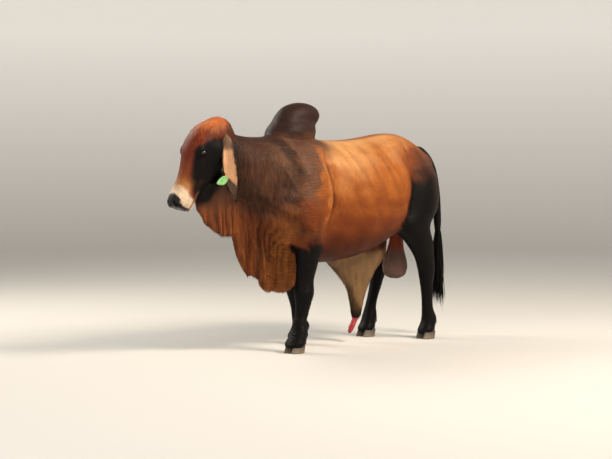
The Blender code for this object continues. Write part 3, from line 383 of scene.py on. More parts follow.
def scrotum():
    """The scrotum and its neck, in rows as the sheath's."""
    rows = [
        (0.585, 0, 0.86, 0.060, 0.07, 0.07),
        (0.575, 0, 0.74, 0.052, 0.055, 0.058),
        (0.565, 0, 0.65, 0.068, 0.062, 0.066),
        (0.558, 0, 0.56, 0.094, 0.088, 0.090),
        (0.555, 0, 0.49, 0.093, 0.087, 0.090),
        (0.555, 0, 0.445, 0.064, 0.060, 0.062),
        (0.555, 0, 0.428, 0.025, 0.025, 0.025),
    ]
    return tube(rows, (-1, 0, 0), 56, 40, 2.0)


def tail():
    """The fleshy tail, from inside the rump to where the switch begins."""
    rows = [
        (0.72, 0.0, 1.345, 0.060, 0.05, 0.06),
        (0.80, 0.0, 1.352, 0.058, 0.050, 0.06),
        (0.865, -0.012, 1.310, 0.052, 0.046, 0.046),
        (0.905, -0.030, 1.230, 0.048, 0.044, 0.044),
        (0.930, -0.050, 1.100, 0.042, 0.038, 0.038),
        (0.936, -0.068, 0.940, 0.036, 0.034, 0.034),
        (0.932, -0.080, 0.820, 0.031, 0.030, 0.030),
        (0.930, -0.084, 0.740, 0.022, 0.022, 0.022),
        (0.928, -0.086, 0.600, 0.012, 0.012, 0.012),
    ]
    return tube(rows, (-1, 0, 0), 80, 28, 2.0)


def ear_rows(side):
    """The ear's middle line, half width, half thickness of its root and depth of its cup."""
    rows = [
        (-1.150, 0.076, 1.442, 0.030, 0.024, 0.0),
        (-1.156, 0.108, 1.442, 0.030, 0.025, 0.0),
        (-1.164, 0.138, 1.426, 0.031, 0.026, 0.10),
        (-1.174, 0.160, 1.390, 0.036, 0.028, 0.50),
        (-1.180, 0.171, 1.337, 0.044, 0.033, 0.95),
        (-1.179, 0.176, 1.275, 0.050, 0.036, 1.0),
        (-1.170, 0.177, 1.212, 0.049, 0.034, 1.0),
        (-1.154, 0.174, 1.150, 0.041, 0.026, 1.0),
        (-1.134, 0.168, 1.092, 0.030, 0.016, 1.0),
        (-1.114, 0.163, 1.044, 0.012, 0.007, 1.0),
    ]
    return [(x, y * side, z, wide, thick, cup) for x, y, z, wide, thick, cup in rows]


def ear_axes(side, steps):
    """The ear's rows, and the ways across it and out of its cup at each of them."""
    rows = spline(ear_rows(side), steps)
    along = unit(np.gradient(rows[:, :3], axis=0))
    across = unit(np.cross(along, np.array(EAR_FACING) * (1, side, 1)))
    return rows, across, unit(np.cross(across, along))


def ear(side, steps=90, half=26):
    """A long hanging ear: a round root that opens into a trough, with small waves along its rim."""
    rows, across, front = ear_axes(side, steps)
    s = np.sin(np.linspace(-math.pi / 2, math.pi / 2, half + 2)[1:-1])
    bow = np.sqrt(1 - s**2)
    cup = np.clip(rows[:, 5:6], 0, 1)
    at = np.linspace(0, 1, steps)[:, None]
    notch = 1 - 0.10 * np.exp(-(((at - 0.62) / 0.035) ** 2)) * (across[:, :1] * s < 0)
    wide = rows[:, 3:4] * (1 + 0.010 * np.sin(at * 26 + 2 * np.sin(at * 9))) * notch
    deep = rows[:, 4:5]
    ridge = 0.0016 * cup * np.cos(s * 9) * bow
    back = -deep * bow
    face = (1 - cup) * deep * bow + cup * (0.0075 * bow**0.5 + 0.0015 - deep * bow) + ridge
    ring_across = np.concatenate([wide * s, (wide * s)[:, ::-1]], axis=1)
    ring_front = np.concatenate([back, face[:, ::-1]], axis=1)
    aside = across[:, None] * ring_across[..., None]
    return shell(rows[:, None, :3] + aside + front[:, None] * ring_front[..., None])


def stretch(far):
    """A distance r from the head's middle as spread makes it: r + (zoom - 1) reach tanh(r / reach)."""
    return far + (HEAD_ZOOM - 1) * HEAD_REACH * np.tanh(far / HEAD_REACH)


def spread(points, change=stretch):
    """Moves points away from the head's middle, so that an even mesh there is finer once they are back."""
    away = points - HEAD_MIDDLE
    far = np.linalg.norm(away, axis=1, keepdims=True)
    return HEAD_MIDDLE + away * change(far) / np.maximum(far, 1e-9)


def gather(points):
    """Undoes spread."""
    table = np.linspace(0, 4, 4001)
    return spread(points, lambda far: np.interp(far, stretch(table), table))


def points_of(obj):
    """A mesh's points, as an array."""
    co = np.empty(len(obj.data.vertices) * 3, np.float32)
    obj.data.vertices.foreach_get("co", co)
    return co.reshape(-1, 3).astype(float)


def set_points(obj, points):
    """Gives a mesh its points."""
    obj.data.vertices.foreach_set("co", points.astype(np.float32).ravel())
    obj.data.update()


def normals_of(obj):
    """The normals at a mesh's points."""
    out = np.empty(len(obj.data.vertices) * 3, np.float32)
    obj.data.vertex_normals.foreach_get("vector", out)
    return out.reshape(-1, 3).astype(float)


def apply_modifiers(obj):
    """Makes an object's modifiers part of its mesh."""
    graph = bpy.context.evaluated_depsgraph_get()
    mesh = bpy.data.meshes.new_from_object(obj.evaluated_get(graph))
    obj.modifiers.clear()
    obj.data = mesh


def relax(obj, weight, rounds):
    """Moves each point towards the middle of its neighbours, by a share that weight gives for its place."""
    points = points_of(obj)
    ends = np.empty(len(obj.data.edges) * 2, np.int32)
    obj.data.edges.foreach_get("vertices", ends)
    a, b = ends.reshape(-1, 2).T
    here, there = np.r_[a, b], np.r_[b, a]
    count = np.bincount(here, minlength=len(points))[:, None]
    share = weight(points)[:, None]
    for _ in range(rounds):
        total = np.stack([np.bincount(here, points[there, k], len(points)) for k in range(3)], 1)
        points += share * 0.6 * (total / count - points)
    set_points(obj, points)


def smooth_weight(p):
    """Broad on the trunk, less on the legs, face and ears."""
    head = np.exp(-(((p - HEAD_MIDDLE) / np.array([0.32, 0.3, 0.42])) ** 2).sum(1))
    legs = np.clip((0.80 - p[:, 2]) / 0.25, 0, 1)
    tail_ = fade(p[:, 0], 0.86, 0.90)
    curtain = fade(p[:, 0], -0.45, -0.55) * fade(p[:, 2], 0.95, 0.80)
    return np.clip(1 - 0.75 * head - 0.70 * legs - 0.8 * tail_ - 0.6 * curtain, 0.12, 1)


def swell(p, n, centre, radii, height):
    """A soft swelling, or a hollow if height is negative, on both sides of the animal."""
    for side in (1, -1) if centre[1] else (1,):
        q = (((p - np.array(centre, float) * (1, side, 1)) / np.array(radii)) ** 2).sum(1)
        p = p + n * (height * np.exp(-q))[:, None]
    return p


def nearness(p, line):
    """How far each point is from a path, and how far along the path its nearest place is, from 0 to 1."""
    run = np.r_[0, np.cumsum(np.linalg.norm(np.diff(line, axis=0), axis=1))]
    best, at = np.full(len(p), 9.0), np.zeros(len(p))
    for i in range(len(line) - 1):
        span = line[i + 1] - line[i]
        u = np.clip(((p - line[i]) @ span) / (span @ span), 0, 1)
        far = np.linalg.norm(p - line[i] - u[:, None] * span, axis=1)
        near = far < best
        at = np.where(near, run[i] + u * (run[i + 1] - run[i]), at)
        best = np.minimum(best, far)
    return best, at / run[-1]


def furrow(p, n, path, width, depth, aside=1.0):
    """A groove along a path on both sides, fading at its ends. Distance across the animal counts by aside."""
    for side in (1, -1):
        best, at = nearness(p * (1, aside, 1), np.array(path, float) * (1, side * aside, 1))
        best = np.where(p[:, 1] * side > 0, best, 9.0)
        ends = np.clip(np.minimum(at, 1 - at) / 0.18, 0, 1)
        p = p - n * (depth * (0.05 + 0.95 * ends) * np.exp(-((best / width) ** 2)))[:, None]
    return p


def flank_furrow(p, n, path, width, depth):
    """A furrow along a path on the flank."""
    return furrow(p, n, path, width, depth, FLANK_SHARE)


def flank_distance(p, path):
    """How far each point is from a path on its own flank, and how far along it, from 0 to 1."""
    folded = np.stack([p[:, 0], FLANK_SHARE * np.abs(p[:, 1]), p[:, 2]], 1)
    return nearness(folded, np.array(path) * (1, FLANK_SHARE, 1))


def face_path(*places):
    """A path on the head, its places given along the face, out of the forehead and to the right."""
    return [head_point(*place) for place in places]


NOSTRIL = face_path((0.668, 0.014, 0.028), (0.674, -0.002, 0.043), (0.664, -0.022, 0.051))
SHOULDER_CREASE = [
    (-0.310, 0.20, 1.445), (-0.352, 0.27, 1.39), (-0.392, 0.32, 1.31), (-0.396, 0.35, 1.22),
    (-0.378, 0.37, 1.12), (-0.376, 0.37, 1.02), (-0.396, 0.37, 0.92), (-0.435, 0.36, 0.80),
]
DEWLAP_FOLDS = [
    [(x, 0.12, 1.12 - 0.45 * (x + 1.02)), (x + 0.05, 0.10, 0.86),
     (x + 0.10, 0.06, 0.66), (x + 0.13, 0.05, 0.44)]
    for x in (-1.00, -0.965, -0.935, -0.895, -0.86, -0.82, -0.785, -0.745, -0.70)
]
DEWLAP_FOLDS += [
    [(x, 0.06, 1.05), (x + 0.03, 0.04, 0.92), (x + 0.05, 0.03, 0.80)]
    for x in (-1.24, -1.195, -1.15, -1.11, -1.065)
]
NECK_VALLEY = [(-0.70, 0.16, 1.40), (-0.66, 0.24, 1.28), (-0.67, 0.29, 1.16), (-0.74, 0.28, 1.04)]
THROAT_VALLEY = [
    (-0.93, 0.18, 1.08), (-0.86, 0.22, 0.99), (-0.76, 0.26, 0.90), (-0.64, 0.27, 0.83), (-0.55, 0.28, 0.79),
]


def sculpt(p, n):
    """The bones, muscles, folds and features that the tubes leave out."""
    # Poll, brow, temple, cheek bone and cheek
    p = swell(p, n, head_point(0.03, 0.01), (0.05, 0.07, 0.05), 0.008)
    p = swell(p, n, head_point(0.245, 0.070, 0.085), (0.035, 0.032, 0.032), 0.006)
    p = swell(p, n, head_point(0.17, 0.00, 0.118), (0.045, 0.05, 0.045), -0.010)
    p = swell(p, n, head_point(0.23, -0.13, 0.11), (0.08, 0.08, 0.07), 0.012)
    p = furrow(p, n, face_path((0.33, 0.00, 0.10), (0.42, -0.02, 0.08), (0.49, -0.025, 0.07)), 0.018, -0.006)
    p = swell(p, n, head_point(0.43, -0.08, 0.08), (0.05, 0.04, 0.04), -0.007)
    # Nostrils, lips, mouth line and chin
    p = furrow(p, n, NOSTRIL, 0.026, -0.009)
    p = furrow(p, n, NOSTRIL, 0.0095, 0.024)
    p = swell(p, n, head_point(0.61, -0.050, 0.078), (0.040, 0.028, 0.030), 0.006)
    mouth = face_path((0.674, -0.080, 0.0), (0.664, -0.084, 0.035), (0.62, -0.090, 0.070),
                      (0.565, -0.094, 0.074), (0.51, -0.088, 0.068))
    p = furrow(p, n, mouth, 0.006, 0.009)
    p = swell(p, n, head_point(0.61, -0.130), (0.030, 0.036, 0.022), 0.006)
    # Folds round the eye and from the mouth's corner, and the groove down the middle of the upper lip
    for k in range(3):
        r = 0.034 + 0.009 * k
        arc = [head_point(EYE_DOWN - r * math.cos(t), EYE_OUT + r * 0.8 * math.sin(t), EYE_SIDE - 0.012)
               for t in np.linspace(-0.3, 1.9, 7)]
        p = furrow(p, n, arc, 0.0032, 0.0022)
    p = furrow(p, n, face_path((0.668, 0.006), (0.684, -0.045), (0.678, -0.078)), 0.005, 0.004)
    # Shoulder blade, point of the shoulder, elbow and the hollow behind the shoulder
    p = swell(p, n, (-0.60, 0.30, 1.12), (0.14, 0.16, 0.24), 0.028)
    p = swell(p, n, (-0.74, 0.24, 0.93), (0.10, 0.14, 0.12), 0.026)
    behind = [(-0.31, 0.22, 1.42), (-0.32, 0.33, 1.25), (-0.31, 0.36, 1.05), (-0.33, 0.34, 0.82)]
    p = flank_furrow(p, n, behind, 0.035, 0.008)
    before = [(-0.80, 0.16, 1.36), (-0.84, 0.22, 1.18), (-0.86, 0.21, 1.00), (-0.80, 0.22, 0.86)]
    p = flank_furrow(p, n, before, 0.045, 0.010)
    # Hook bone, flank hollow, thigh and pin bone
    p = swell(p, n, (0.42, 0.22, 1.40), (0.09, 0.10, 0.08), 0.026)
    p = swell(p, n, (0.26, 0.27, 1.30), (0.10, 0.12, 0.10), -0.020)
    p = swell(p, n, (0.80, 0.11, 1.28), (0.07, 0.07, 0.09), 0.020)
    p = swell(p, n, (0.60, 0.28, 1.08), (0.16, 0.14, 0.22), 0.020)
    p = flank_furrow(p, n, [(0.36, 0.34, 1.05), (0.37, 0.33, 0.92), (0.32, 0.28, 0.78)], 0.035, 0.018)
    # Creases of loose skin behind the shoulder with a raised lip, folds of the neck and elbow, and ribs
    p = flank_furrow(p, n, SHOULDER_CREASE, 0.012, 0.017)
    p = flank_furrow(p, n, np.array(SHOULDER_CREASE) - (0.034, 0, 0), 0.026, -0.010)
    p = flank_furrow(p, n, [(-0.385, 0.25, 1.40), (-0.440, 0.32, 1.31), (-0.428, 0.34, 1.18)], 0.009, 0.009)
    for k, path in enumerate(DEWLAP_FOLDS):
        p = flank_furrow(p, n, path, 0.011 + 0.003 * (k % 3), (0.014 + 0.006 * (k % 2)) if k < 9 else 0.006)
    p = flank_furrow(p, n, NECK_VALLEY, 0.034, 0.020)
    p = swell(p, n, (-0.50, 0.30, 1.30), (0.07, 0.12, 0.14), 0.012)
    p = flank_furrow(p, n, THROAT_VALLEY, 0.024, 0.016)
    for k in range(7):
        x = -1.03 + 0.052 * k
        path = [(x + 0.03, 0.20, 1.34 - 0.02 * k), (x, 0.19, 1.12), (x + 0.02, 0.15, 0.92)]
        p = flank_furrow(p, n, path, 0.011, 0.005)
    for k in range(5):
        path = [(-0.47, 0.30, 0.80 + 0.020 * k), (-0.42, 0.33, 0.82 + 0.028 * k),
                (-0.36, 0.34, 0.88 + 0.03 * k)]
        p = flank_furrow(p, n, path, 0.007, 0.005)
    for k in range(6):
        x = -0.20 + 0.085 * k
        path = [(x + 0.02, 0.20, 1.40), (x + 0.05, 0.32, 1.26), (x + 0.09, 0.37, 1.08)]
        p = flank_furrow(p, n, path, 0.020, 0.004)
    # The raphe that parts the scrotum
    q = np.exp(-((p[:, 1] / 0.012) ** 2)) * fade(p[:, 2], 0.66, 0.56) * (np.abs(p[:, 0] - 0.558) < 0.10)
    return p - n * (0.012 * q)[:, None]


def boolean(obj, part, operation="DIFFERENCE"):
    """Cuts with another closed mesh, or joins it."""
    other = make("other", [part])
    cut = obj.modifiers.new("cut", "BOOLEAN")
    cut.operation = operation
    cut.solver = "MANIFOLD"
    cut.object = other
    apply_modifiers(obj)
    bpy.data.objects.remove(other)


def eye_centre(side):
    """The middle of an eyeball."""
    return head_point(EYE_DOWN, EYE_OUT, side * EYE_SIDE)


def eye_distance(p, side):
    """How far each point is from the middle of an eyeball."""
    return np.linalg.norm(p - eye_centre(side), axis=1)


def eye_axes(side):
    """The ways out of the eye, towards its front corner and up."""
    out = unit(np.array([-0.42, 0.90 * side, 0.10]))
    slant = np.array([-math.cos(EYE_SLANT), 0, -math.sin(EYE_SLANT)])
    corner = unit(np.cross(np.cross(out, slant), out))
    up = np.cross(corner, out)
    return out, corner, up * math.copysign(1, up[2])


def lid_opening(side):
    """A lens-shaped wedge from the eye's middle outward: half height h (1 - t^2)^0.8 at t along the slit."""
    out, corner, up = eye_axes(side)
    t = np.linspace(-1, 1, 33)[:, None]
    tall = 0.036 * (1 - t * t) ** 0.8 + 0.0008
    middle = eye_centre(side) + corner * t * 0.0195
    front = middle + out * 0.06
    return shell(np.stack([middle + out * 0.004, front + up * tall, front - up * tall * 0.85], 1))


def skin():
    """All the flesh as one closed skin, just under the coat."""
    parts = [trunk(), neck(), skull(), orbit(1), orbit(-1), *hump(), dewlap(), sheath(), scrotum(), tail()]
    for leg in FORE_LEGS:
        parts += [fore_leg(*leg), *dew_claws(leg[0], 0.064)]
    for leg in HIND_LEGS:
        parts += [hind_leg(*leg), *dew_claws(leg[0], 0.060)]
    parts += [ear(1), ear(-1)]
    obj = make("bull_skin", [(spread(p), f) for p, f in parts])
    remesh = obj.modifiers.new("even", "REMESH")
    remesh.mode = "VOXEL"
    remesh.voxel_size = VOXEL
    apply_modifiers(obj)
    set_points(obj, gather(points_of(obj)))
    relax(obj, lambda p: smooth_weight(p) * (1 - 0.85 * on_ear(p)), 16)
    set_points(obj, sculpt(points_of(obj), normals_of(obj)))
    points, normals = points_of(obj), normals_of(obj)
    under = COAT_DEPTH * (1 - 0.8 * on_head(points)) * fade(points[:, 2], 0.02, 0.15)
    set_points(obj, points - normals * under[:, None])
    for side in (-1, 1):
        boolean(obj, ellipsoid(eye_centre(side), (LID_RADIUS,) * 3, 0, 48, 30), "UNION")
        boolean(obj, lid_opening(side))
        boolean(obj, ellipsoid(eye_centre(side), (EYE_RADIUS + 0.0004,) * 3, 0, 48, 30))
    points = points_of(obj)
    keep = np.maximum(on_head(points), on_ear(points))
    crease, _ = flank_distance(points, SHOULDER_CREASE)
    keep = np.maximum(keep, fade(crease, 0.06, 0.04)) > 0.5
    group = obj.vertex_groups.new(name="fine")
    group.add(np.flatnonzero(keep).tolist(), 1.0, "REPLACE")
    fewer = obj.modifiers.new("fewer", "DECIMATE")
    fewer.ratio = SKIN_SHARE
    fewer.vertex_group = "fine"
    fewer.invert_vertex_group = True
    apply_modifiers(obj)
    return obj


def dew_claws(hoof, back):
    """The two small claws behind the fetlock."""
    x, y = hoof
    places = [(x + back - 0.008, y + side * 0.026, 0.122) for side in (1, -1)]
    return [ellipsoid(place, (0.017, 0.014, 0.022)) for place in places]


def on_head(p):
    """1 on the head, 0 on the neck and dewlap."""
    down, out = face_place(p)
    low = np.maximum(fade(p[:, 2], 0.98, 1.04), fade(p[:, 0], -1.33, -1.37))
    return fade(out, -0.26, -0.20) * fade(down, -0.08, 0.0) * fade(p[:, 0], -1.05, -1.10) * low


def on_ear(p):
    """1 on the hanging part of an ear, 0 elsewhere."""
    best = np.full(len(p), 9.0)
    for side in (-1, 1):
        line = np.array(ear_rows(side))[2:, :3]
        best = np.minimum(best, nearness(p, line)[0])
    return fade(best, 0.075, 0.062) * (np.abs(p[:, 1]) > 0.125)


# Colours of the coat, as sRGB
# Of these, the gold is partly painted highlight, and the deep red partly painted shade
GOLD_AND_HIGHLIGHT, ORANGE, RUST, DEEP_RED_AND_SHADE = (linear(c) for c in ("#C08A55", "#985521", "#693012", "#441C0B"))
# The near black also paints shade in the neck's valleys and the dewlap's folds
GREY_BROWN, DARK_BROWN, NEAR_BLACK_AND_SHADE, BLACK = (linear(c) for c in ("#5F402F", "#452A1D", "#261812", "#070505"))
CREAM, NOSE, TAN = (linear(c) for c in ("#D9C2A4", "#242021", "#80613F"))
# The ear's orange is brightened with painted light
EAR_ORANGE_AND_LIGHT, EAR_GREY, LIP = (linear(c) for c in ("#E8AE7E", "#332B29", "#5A4234"))


def mix(colour, other, amount):
    """A colour moved towards another by an amount at each point."""
    return colour + (other - colour) * np.clip(amount, 0, 1)[:, None]


def ripple(p, scale, seed):
    """Smooth noise from -1 to 1: a sum of sines along seeded directions, about scale metres across."""
    draw = np.random.default_rng(seed)
    total = np.zeros(len(p))
    for _ in range(7):
        way = unit(draw.normal(size=3)) * draw.uniform(0.7, 1.5) * 2 * math.pi / scale
        total += np.sin(p @ way + draw.uniform(0, 6.28))
    return np.tanh(total / 2.2)


def limb(p, legs):
    """How near each point is to the middle line of a leg, level by level, in metres."""
    best = np.full(len(p), 9.0)
    for hoof, joint, root, *_ in legs:
        root_y = 0.22 * math.copysign(1, hoof[1])
        mid_x = np.interp(p[:, 2], [0.08, 0.45, 0.85], [hoof[0], joint, root])
        mid_y = np.interp(p[:, 2], [0.50, 0.72], [hoof[1], root_y])
        best = np.minimum(best, np.hypot((p[:, 0] - mid_x) * 0.85, p[:, 1] - mid_y))
    return best


def markings(p, n):
    """The coat's colour at each point, from its place on the animal."""
    x, y, z = p.T
    side = np.abs(y)
    blur = 0.030 * ripple(p, 0.16, 1) + 0.012 * ripple(p, 0.05, 2)
    streak = ripple(p * (1, 1, 0.25), 0.045, 3)
    down, out = face_place(p)
    leg = limb(p, FORE_LEGS)
    off_leg = fade(leg, 0.10, 0.13)
    # Trunk: deep red below, rust, then orange and gold over the ribs; the deep red partly painted shade, the
    # gold partly painted highlight
    c = mix(DEEP_RED_AND_SHADE, RUST, fade(z + blur, 0.60, 0.90))
    c = mix(c, ORANGE, fade(z + 2 * blur, 0.80, 1.24))
    high = z + 1.8 * blur - 0.18 * fade(x, -0.12, 0.12)
    c = mix(c, GOLD_AND_HIGHLIGHT, fade(high, 1.05, 1.41) * fade(x + blur, -0.40, -0.27) * fade(x, 0.60, 0.32))
    band = ripple(np.stack([x + 0.35 * z, 0.2 * y, 0.10 * z], 1), 0.075, 15)
    c = mix(c, RUST, 0.28 * fade(band, 0.0, 0.9) * fade(x, -0.30, -0.22) * fade(z, 1.46, 1.38))
    c = mix(c, RUST, 0.75 * fade(side, 0.11, 0.02) * fade(z, 1.36, 1.43))
    c = mix(c, RUST, 0.8 * fade(x + blur, 0.28, 0.42) * fade(z + blur, 1.46, 1.34))
    # Shoulder, with a golden strip at its back edge, then the neck and the hump, with painted shade in their
    # valleys and crease
    edge = x + 1.6 * blur + 0.06 * fade(z, 1.30, 1.05)
    c = mix(c, RUST, 0.6 * fade(x + blur, -0.36, -0.44) * fade(z, 1.10, 0.95))
    c = mix(c, GREY_BROWN, (0.93 + 0.07 * streak) * fade(edge, -0.385, -0.490)
            * fade(z + 2.5 * blur, 0.90, 1.10))
    c = mix(c, GREY_BROWN, 0.9 * fade(z + blur, 1.30, 1.40) * fade(x + 0.5 * blur, -0.22, -0.31))
    c = mix(c, DARK_BROWN, 0.85 * fade(z + blur, 1.40, 1.46) * fade(x + 0.5 * blur, -0.24, -0.32))
    c = mix(c, DARK_BROWN, fade(x + 2.5 * blur, -0.62, -0.88)
            * (0.80 + 0.10 * streak + 0.10 * ripple(p, 0.2, 12)) * fade(z + blur, 0.72, 1.05))
    c = mix(c, NEAR_BLACK_AND_SHADE, 0.6 * fade(x + blur, -0.95, -1.08) * fade(z, 1.0, 1.15))
    c = mix(c, linear("#2B1C17"), (0.92 + 0.08 * ripple(p, 0.05, 8)) * fade(z + 0.6 * blur, 1.462, 1.500)
            * fade(x, -0.16, -0.22) * fade(x, -0.82, -0.74))
    c = mix(c, NEAR_BLACK_AND_SHADE, 0.6 * fade(z, 1.38, 1.46) * fade(x, -0.62, -0.72) * fade(x, -1.10, -1.02))
    # Painted shade along the valleys of the neck and throat
    for line, dark in ((NECK_VALLEY, 0.75), (THROAT_VALLEY, 0.65)):
        far, _ = flank_distance(p, line)
        c = mix(c, NEAR_BLACK_AND_SHADE, dark * fade(far + blur, 0.075, 0.0))
    far, at = flank_distance(p, np.array(SHOULDER_CREASE) - (0.030, 0, 0))
    ends = fade(at, 0.0, 0.25) * fade(at, 1.0, 0.75)
    c = mix(c, linear("#B06A33"), 0.6 * ends * fade(far + 0.6 * blur, 0.034, 0.008))
    # Painted shade along the crease behind the shoulder
    far, at = flank_distance(p, SHOULDER_CREASE)
    c = mix(c, DEEP_RED_AND_SHADE, 0.85 * fade(at, 0.0, 0.15) * fade(at, 1.0, 0.8) * fade(far + 0.15 * blur, 0.021, 0.006))
    # Thigh, tail and legs
    c = mix(c, DARK_BROWN, 0.9 * fade(x + 0.8 * blur, 0.44, 0.60) * fade(z + 1.5 * blur, 1.44, 1.28)
            * fade(side, 0.03, 0.09))
    c = mix(c, BLACK, fade(x + 0.4 * blur - 0.22 * (z - 1.0), 0.370, 0.415)
            * fade(z + 1.2 * blur, 1.29, 1.12) * fade(side, 0.05, 0.09))
    c = mix(c, BLACK, fade(x + 0.3 * blur, 0.345, 0.385) * fade(z + blur, 0.90, 0.80)
            * fade(side, 0.04, 0.08))
    c = mix(c, BLACK, fade(x + 0.3 * blur, 0.44, 0.48) * fade(z + blur, 0.92, 0.82))
    c = mix(c, NEAR_BLACK_AND_SHADE, 0.92 * fade(x, 0.60, 0.68) * fade(z + blur, 1.24, 1.16) * fade(z, 0.80, 0.86))
    tail_line = [(0.77, 0, 1.40), (0.83, -0.01, 1.36), (0.88, -0.02, 1.30),
                 (0.93, -0.05, 1.10), (0.93, -0.085, 0.60)]
    dock, _ = nearness(p, np.array(tail_line))
    c = mix(c, BLACK, fade(dock + 0.6 * blur, 0.150, 0.085))
    # Dewlap: rust, with darker vertical streaks of painted shade, painted highlight on the ridges beside its
    # folds, and painted shade in them
    c = mix(c, mix(linear("#80441F"), DEEP_RED_AND_SHADE, 0.38 + 0.42 * ripple(p * (1, 1, 0.12), 0.06, 5)),
            fade(z + blur, 0.95, 0.72) * fade(x, -0.36, -0.46) * off_leg)
    c = mix(c, linear("#8E4A26"), 0.45 * fade(x, -0.92, -1.05) * fade(z, 1.05, 0.92))
    # Painted highlight on the ridge beside each fold, painted shade along the fold
    far = np.minimum.reduce([flank_distance(p, line)[0] for line in DEWLAP_FOLDS])
    low = fade(z, 1.02, 0.90) * fade(x, -0.52, -0.58)
    c = mix(c, linear("#9A5A2C"), 0.45 * low * fade(far, 0.014, 0.024) * fade(far, 0.042, 0.028))
    c = mix(c, NEAR_BLACK_AND_SHADE, 0.75 * fade(far, 0.013, 0.002) * low)
    c = mix(c, linear("#98592A"), 0.75 * fade(x + blur, -0.76, -0.68) * fade(x, -0.44, -0.50)
            * fade(z + blur, 0.86, 0.76)
            * off_leg)
    # Fore legs, black over the dewlap's edge
    near_leg = leg + 0.3 * blur + 0.036 * fade(z, 0.60, 0.74)
    c = mix(c, BLACK, fade(z + 0.9 * blur, 0.755, 0.700) * fade(near_leg, 0.155, 0.128)
            * fade(side, 0.085, 0.105) * (x < -0.05))
    c = mix(c, BLACK, fade(z, 0.60, 0.56) * fade(side, 0.085, 0.105) * (x > -0.78) * (x < -0.10))
    c = mix(c, BLACK, fade(z, 0.36, 0.30) * (x < -0.10) * (x > -0.75))
    # Sheath: tan, darker at its front edge, black at its end
    hang = fade(side, 0.17, 0.12) * fade(z + 1.2 * blur, 0.70, 0.58) * fade(x, 0.47, 0.43) * off_leg
    hang = hang * fade(limb(p, HIND_LEGS), 0.075, 0.100)
    c = mix(c, mix(TAN, linear("#6F5540"), 0.4 + 0.4 * streak), hang * fade(x, -0.22, -0.10))
    front = z - (0.62 - 1.02 * (x + 0.18))
    c = mix(c, NEAR_BLACK_AND_SHADE, 0.75 * fade(front + blur, 0.05, -0.02) * hang * (x < 0.16) * (x > -0.3))
    c = mix(c, NEAR_BLACK_AND_SHADE, fade(z + blur, 0.30, 0.22) * (x > 0.0) * (x < 0.30) * (side < 0.09))
    ball = (np.abs(x - 0.56) < 0.12) * fade(side, 0.115, 0.10) * (z < 0.80)
    # The sack is reddish above and grey-brown below, the grey-brown partly its bare skin and partly a painted
    # sheen
    sack = mix(linear("#82402A"), linear("#6A4F47"), fade(z + 0.6 * blur, 0.69, 0.59))
    sack = mix(sack, BLACK, 0.35 * fade(np.abs(side - 0.022 + 0.2 * blur), 0.009, 0.003)
               * fade(z, 0.62, 0.54) + 0.5 * fade(z, 0.47, 0.44))
    c = mix(c, sack, ball)
    # Head: red face with painted highlight on its upper part and crown, black cheek and eye patch, cream
    # muzzle ring, black nose
    strand = ripple(np.stack([0.25 * down, out, y + 0.15 * down], 1), 0.012, 4)
    lit = fade(0.6 * strand + 1.1 * fade(down, 0.24, 0.04), -0.5, 1.5) * fade(down, 0.42, 0.10)
    face = mix(linear("#622411"), linear("#A8562C"), lit * fade(out + blur, -0.06, 0.03))
    # Painted highlight: a bright orange patch over the crown
    off_crown = np.linalg.norm((p - head_point(0.07, 0.03)) / (1, 1.5, 1), axis=1)
    crown = fade(off_crown + 0.5 * blur + 0.012 * strand, 0.150, 0.030)
    face = mix(face, linear("#D07B46"), crown * (0.55 + 0.30 * strand))
    face = mix(face, linear("#7E3F1E"), 0.6 * fade(down + 0.5 * blur, 0.34, 0.46))
    face = mix(face, linear("#45190D"), 0.75 * fade(out + 0.5 * blur, 0.110, 0.050)
               * fade(down + 0.7 * blur - 0.4 * out, 0.04, 0.13) * fade(side, 0.05, 0.09))
    corner = np.hypot(np.maximum(out + 0.5 * blur + 0.030, 0),
                      np.maximum(0.235 - down - 0.7 * blur + 0.4 * out, 0))
    patch = fade(corner, 0.112, 0.072) * fade(side, 0.045, 0.075)
    patch = np.maximum(patch, fade(out + 0.4 * blur, -0.050, -0.080) * fade(down, 0.08, 0.16))
    face = mix(face, BLACK, patch * fade(down + 0.6 * blur + 0.35 * (out + 0.05), 0.565, 0.510))
    face = mix(face, DARK_BROWN, 0.8 * fade(down, 0.13, 0.05) * fade(side, 0.06, 0.10)
               * fade(out, 0.0, -0.05))
    face = mix(face, linear("#A9713F"), 0.7 * fade(down + 0.5 * blur, 0.44, 0.56) * fade(out, -0.05, 0.0))
    ring = fade(down + 0.5 * blur + 0.12 * out, 0.550, 0.605) * fade(out, -0.140, -0.118)
    face = mix(face, CREAM, ring * (0.85 + 0.15 * ripple(p, 0.03, 9)))
    face = mix(face, NOSE, nose_pad(p))
    # Painted shade: the openings of the nostrils are black
    hole, _ = nearness(np.stack([x, side, z], 1), np.array(NOSTRIL))
    face = mix(face, np.zeros(3), fade(hole, 0.016, 0.009))
    face = mix(face, LIP, 0.8 * fade(np.abs(out + 0.092), 0.012, 0.004) * fade(down, 0.50, 0.54)
               * fade(down, 0.668, 0.655))
    c = mix(c, face, on_head(p))
    for s in (-1, 1):
        c = mix(c, BLACK, fade(eye_distance(p, s), 0.070, 0.045))
    # Ears: orange-tan inside, brightened with painted light, with grey streaks, a dark rim, and brown outside
    best, inner, rim = ear_place(p, n)
    greys = 0.25 * fade(ripple(p * (1, 1, 0.05), 0.014, 14), 0.0, 1.0)
    lobe = mix(linear("#4A3126"), mix(EAR_ORANGE_AND_LIGHT, linear("#4E3B33"), greys), inner)
    lobe = mix(lobe, EAR_GREY, 0.9 * fade(rim, 0.1, 0.7))
    lobe = mix(lobe, EAR_GREY, 0.9 * fade(z + 2 * blur, 1.19, 1.10))
    lobe = mix(lobe, EAR_GREY, 0.75 * fade(z, 1.35, 1.385))
    return mix(c, lobe, best)


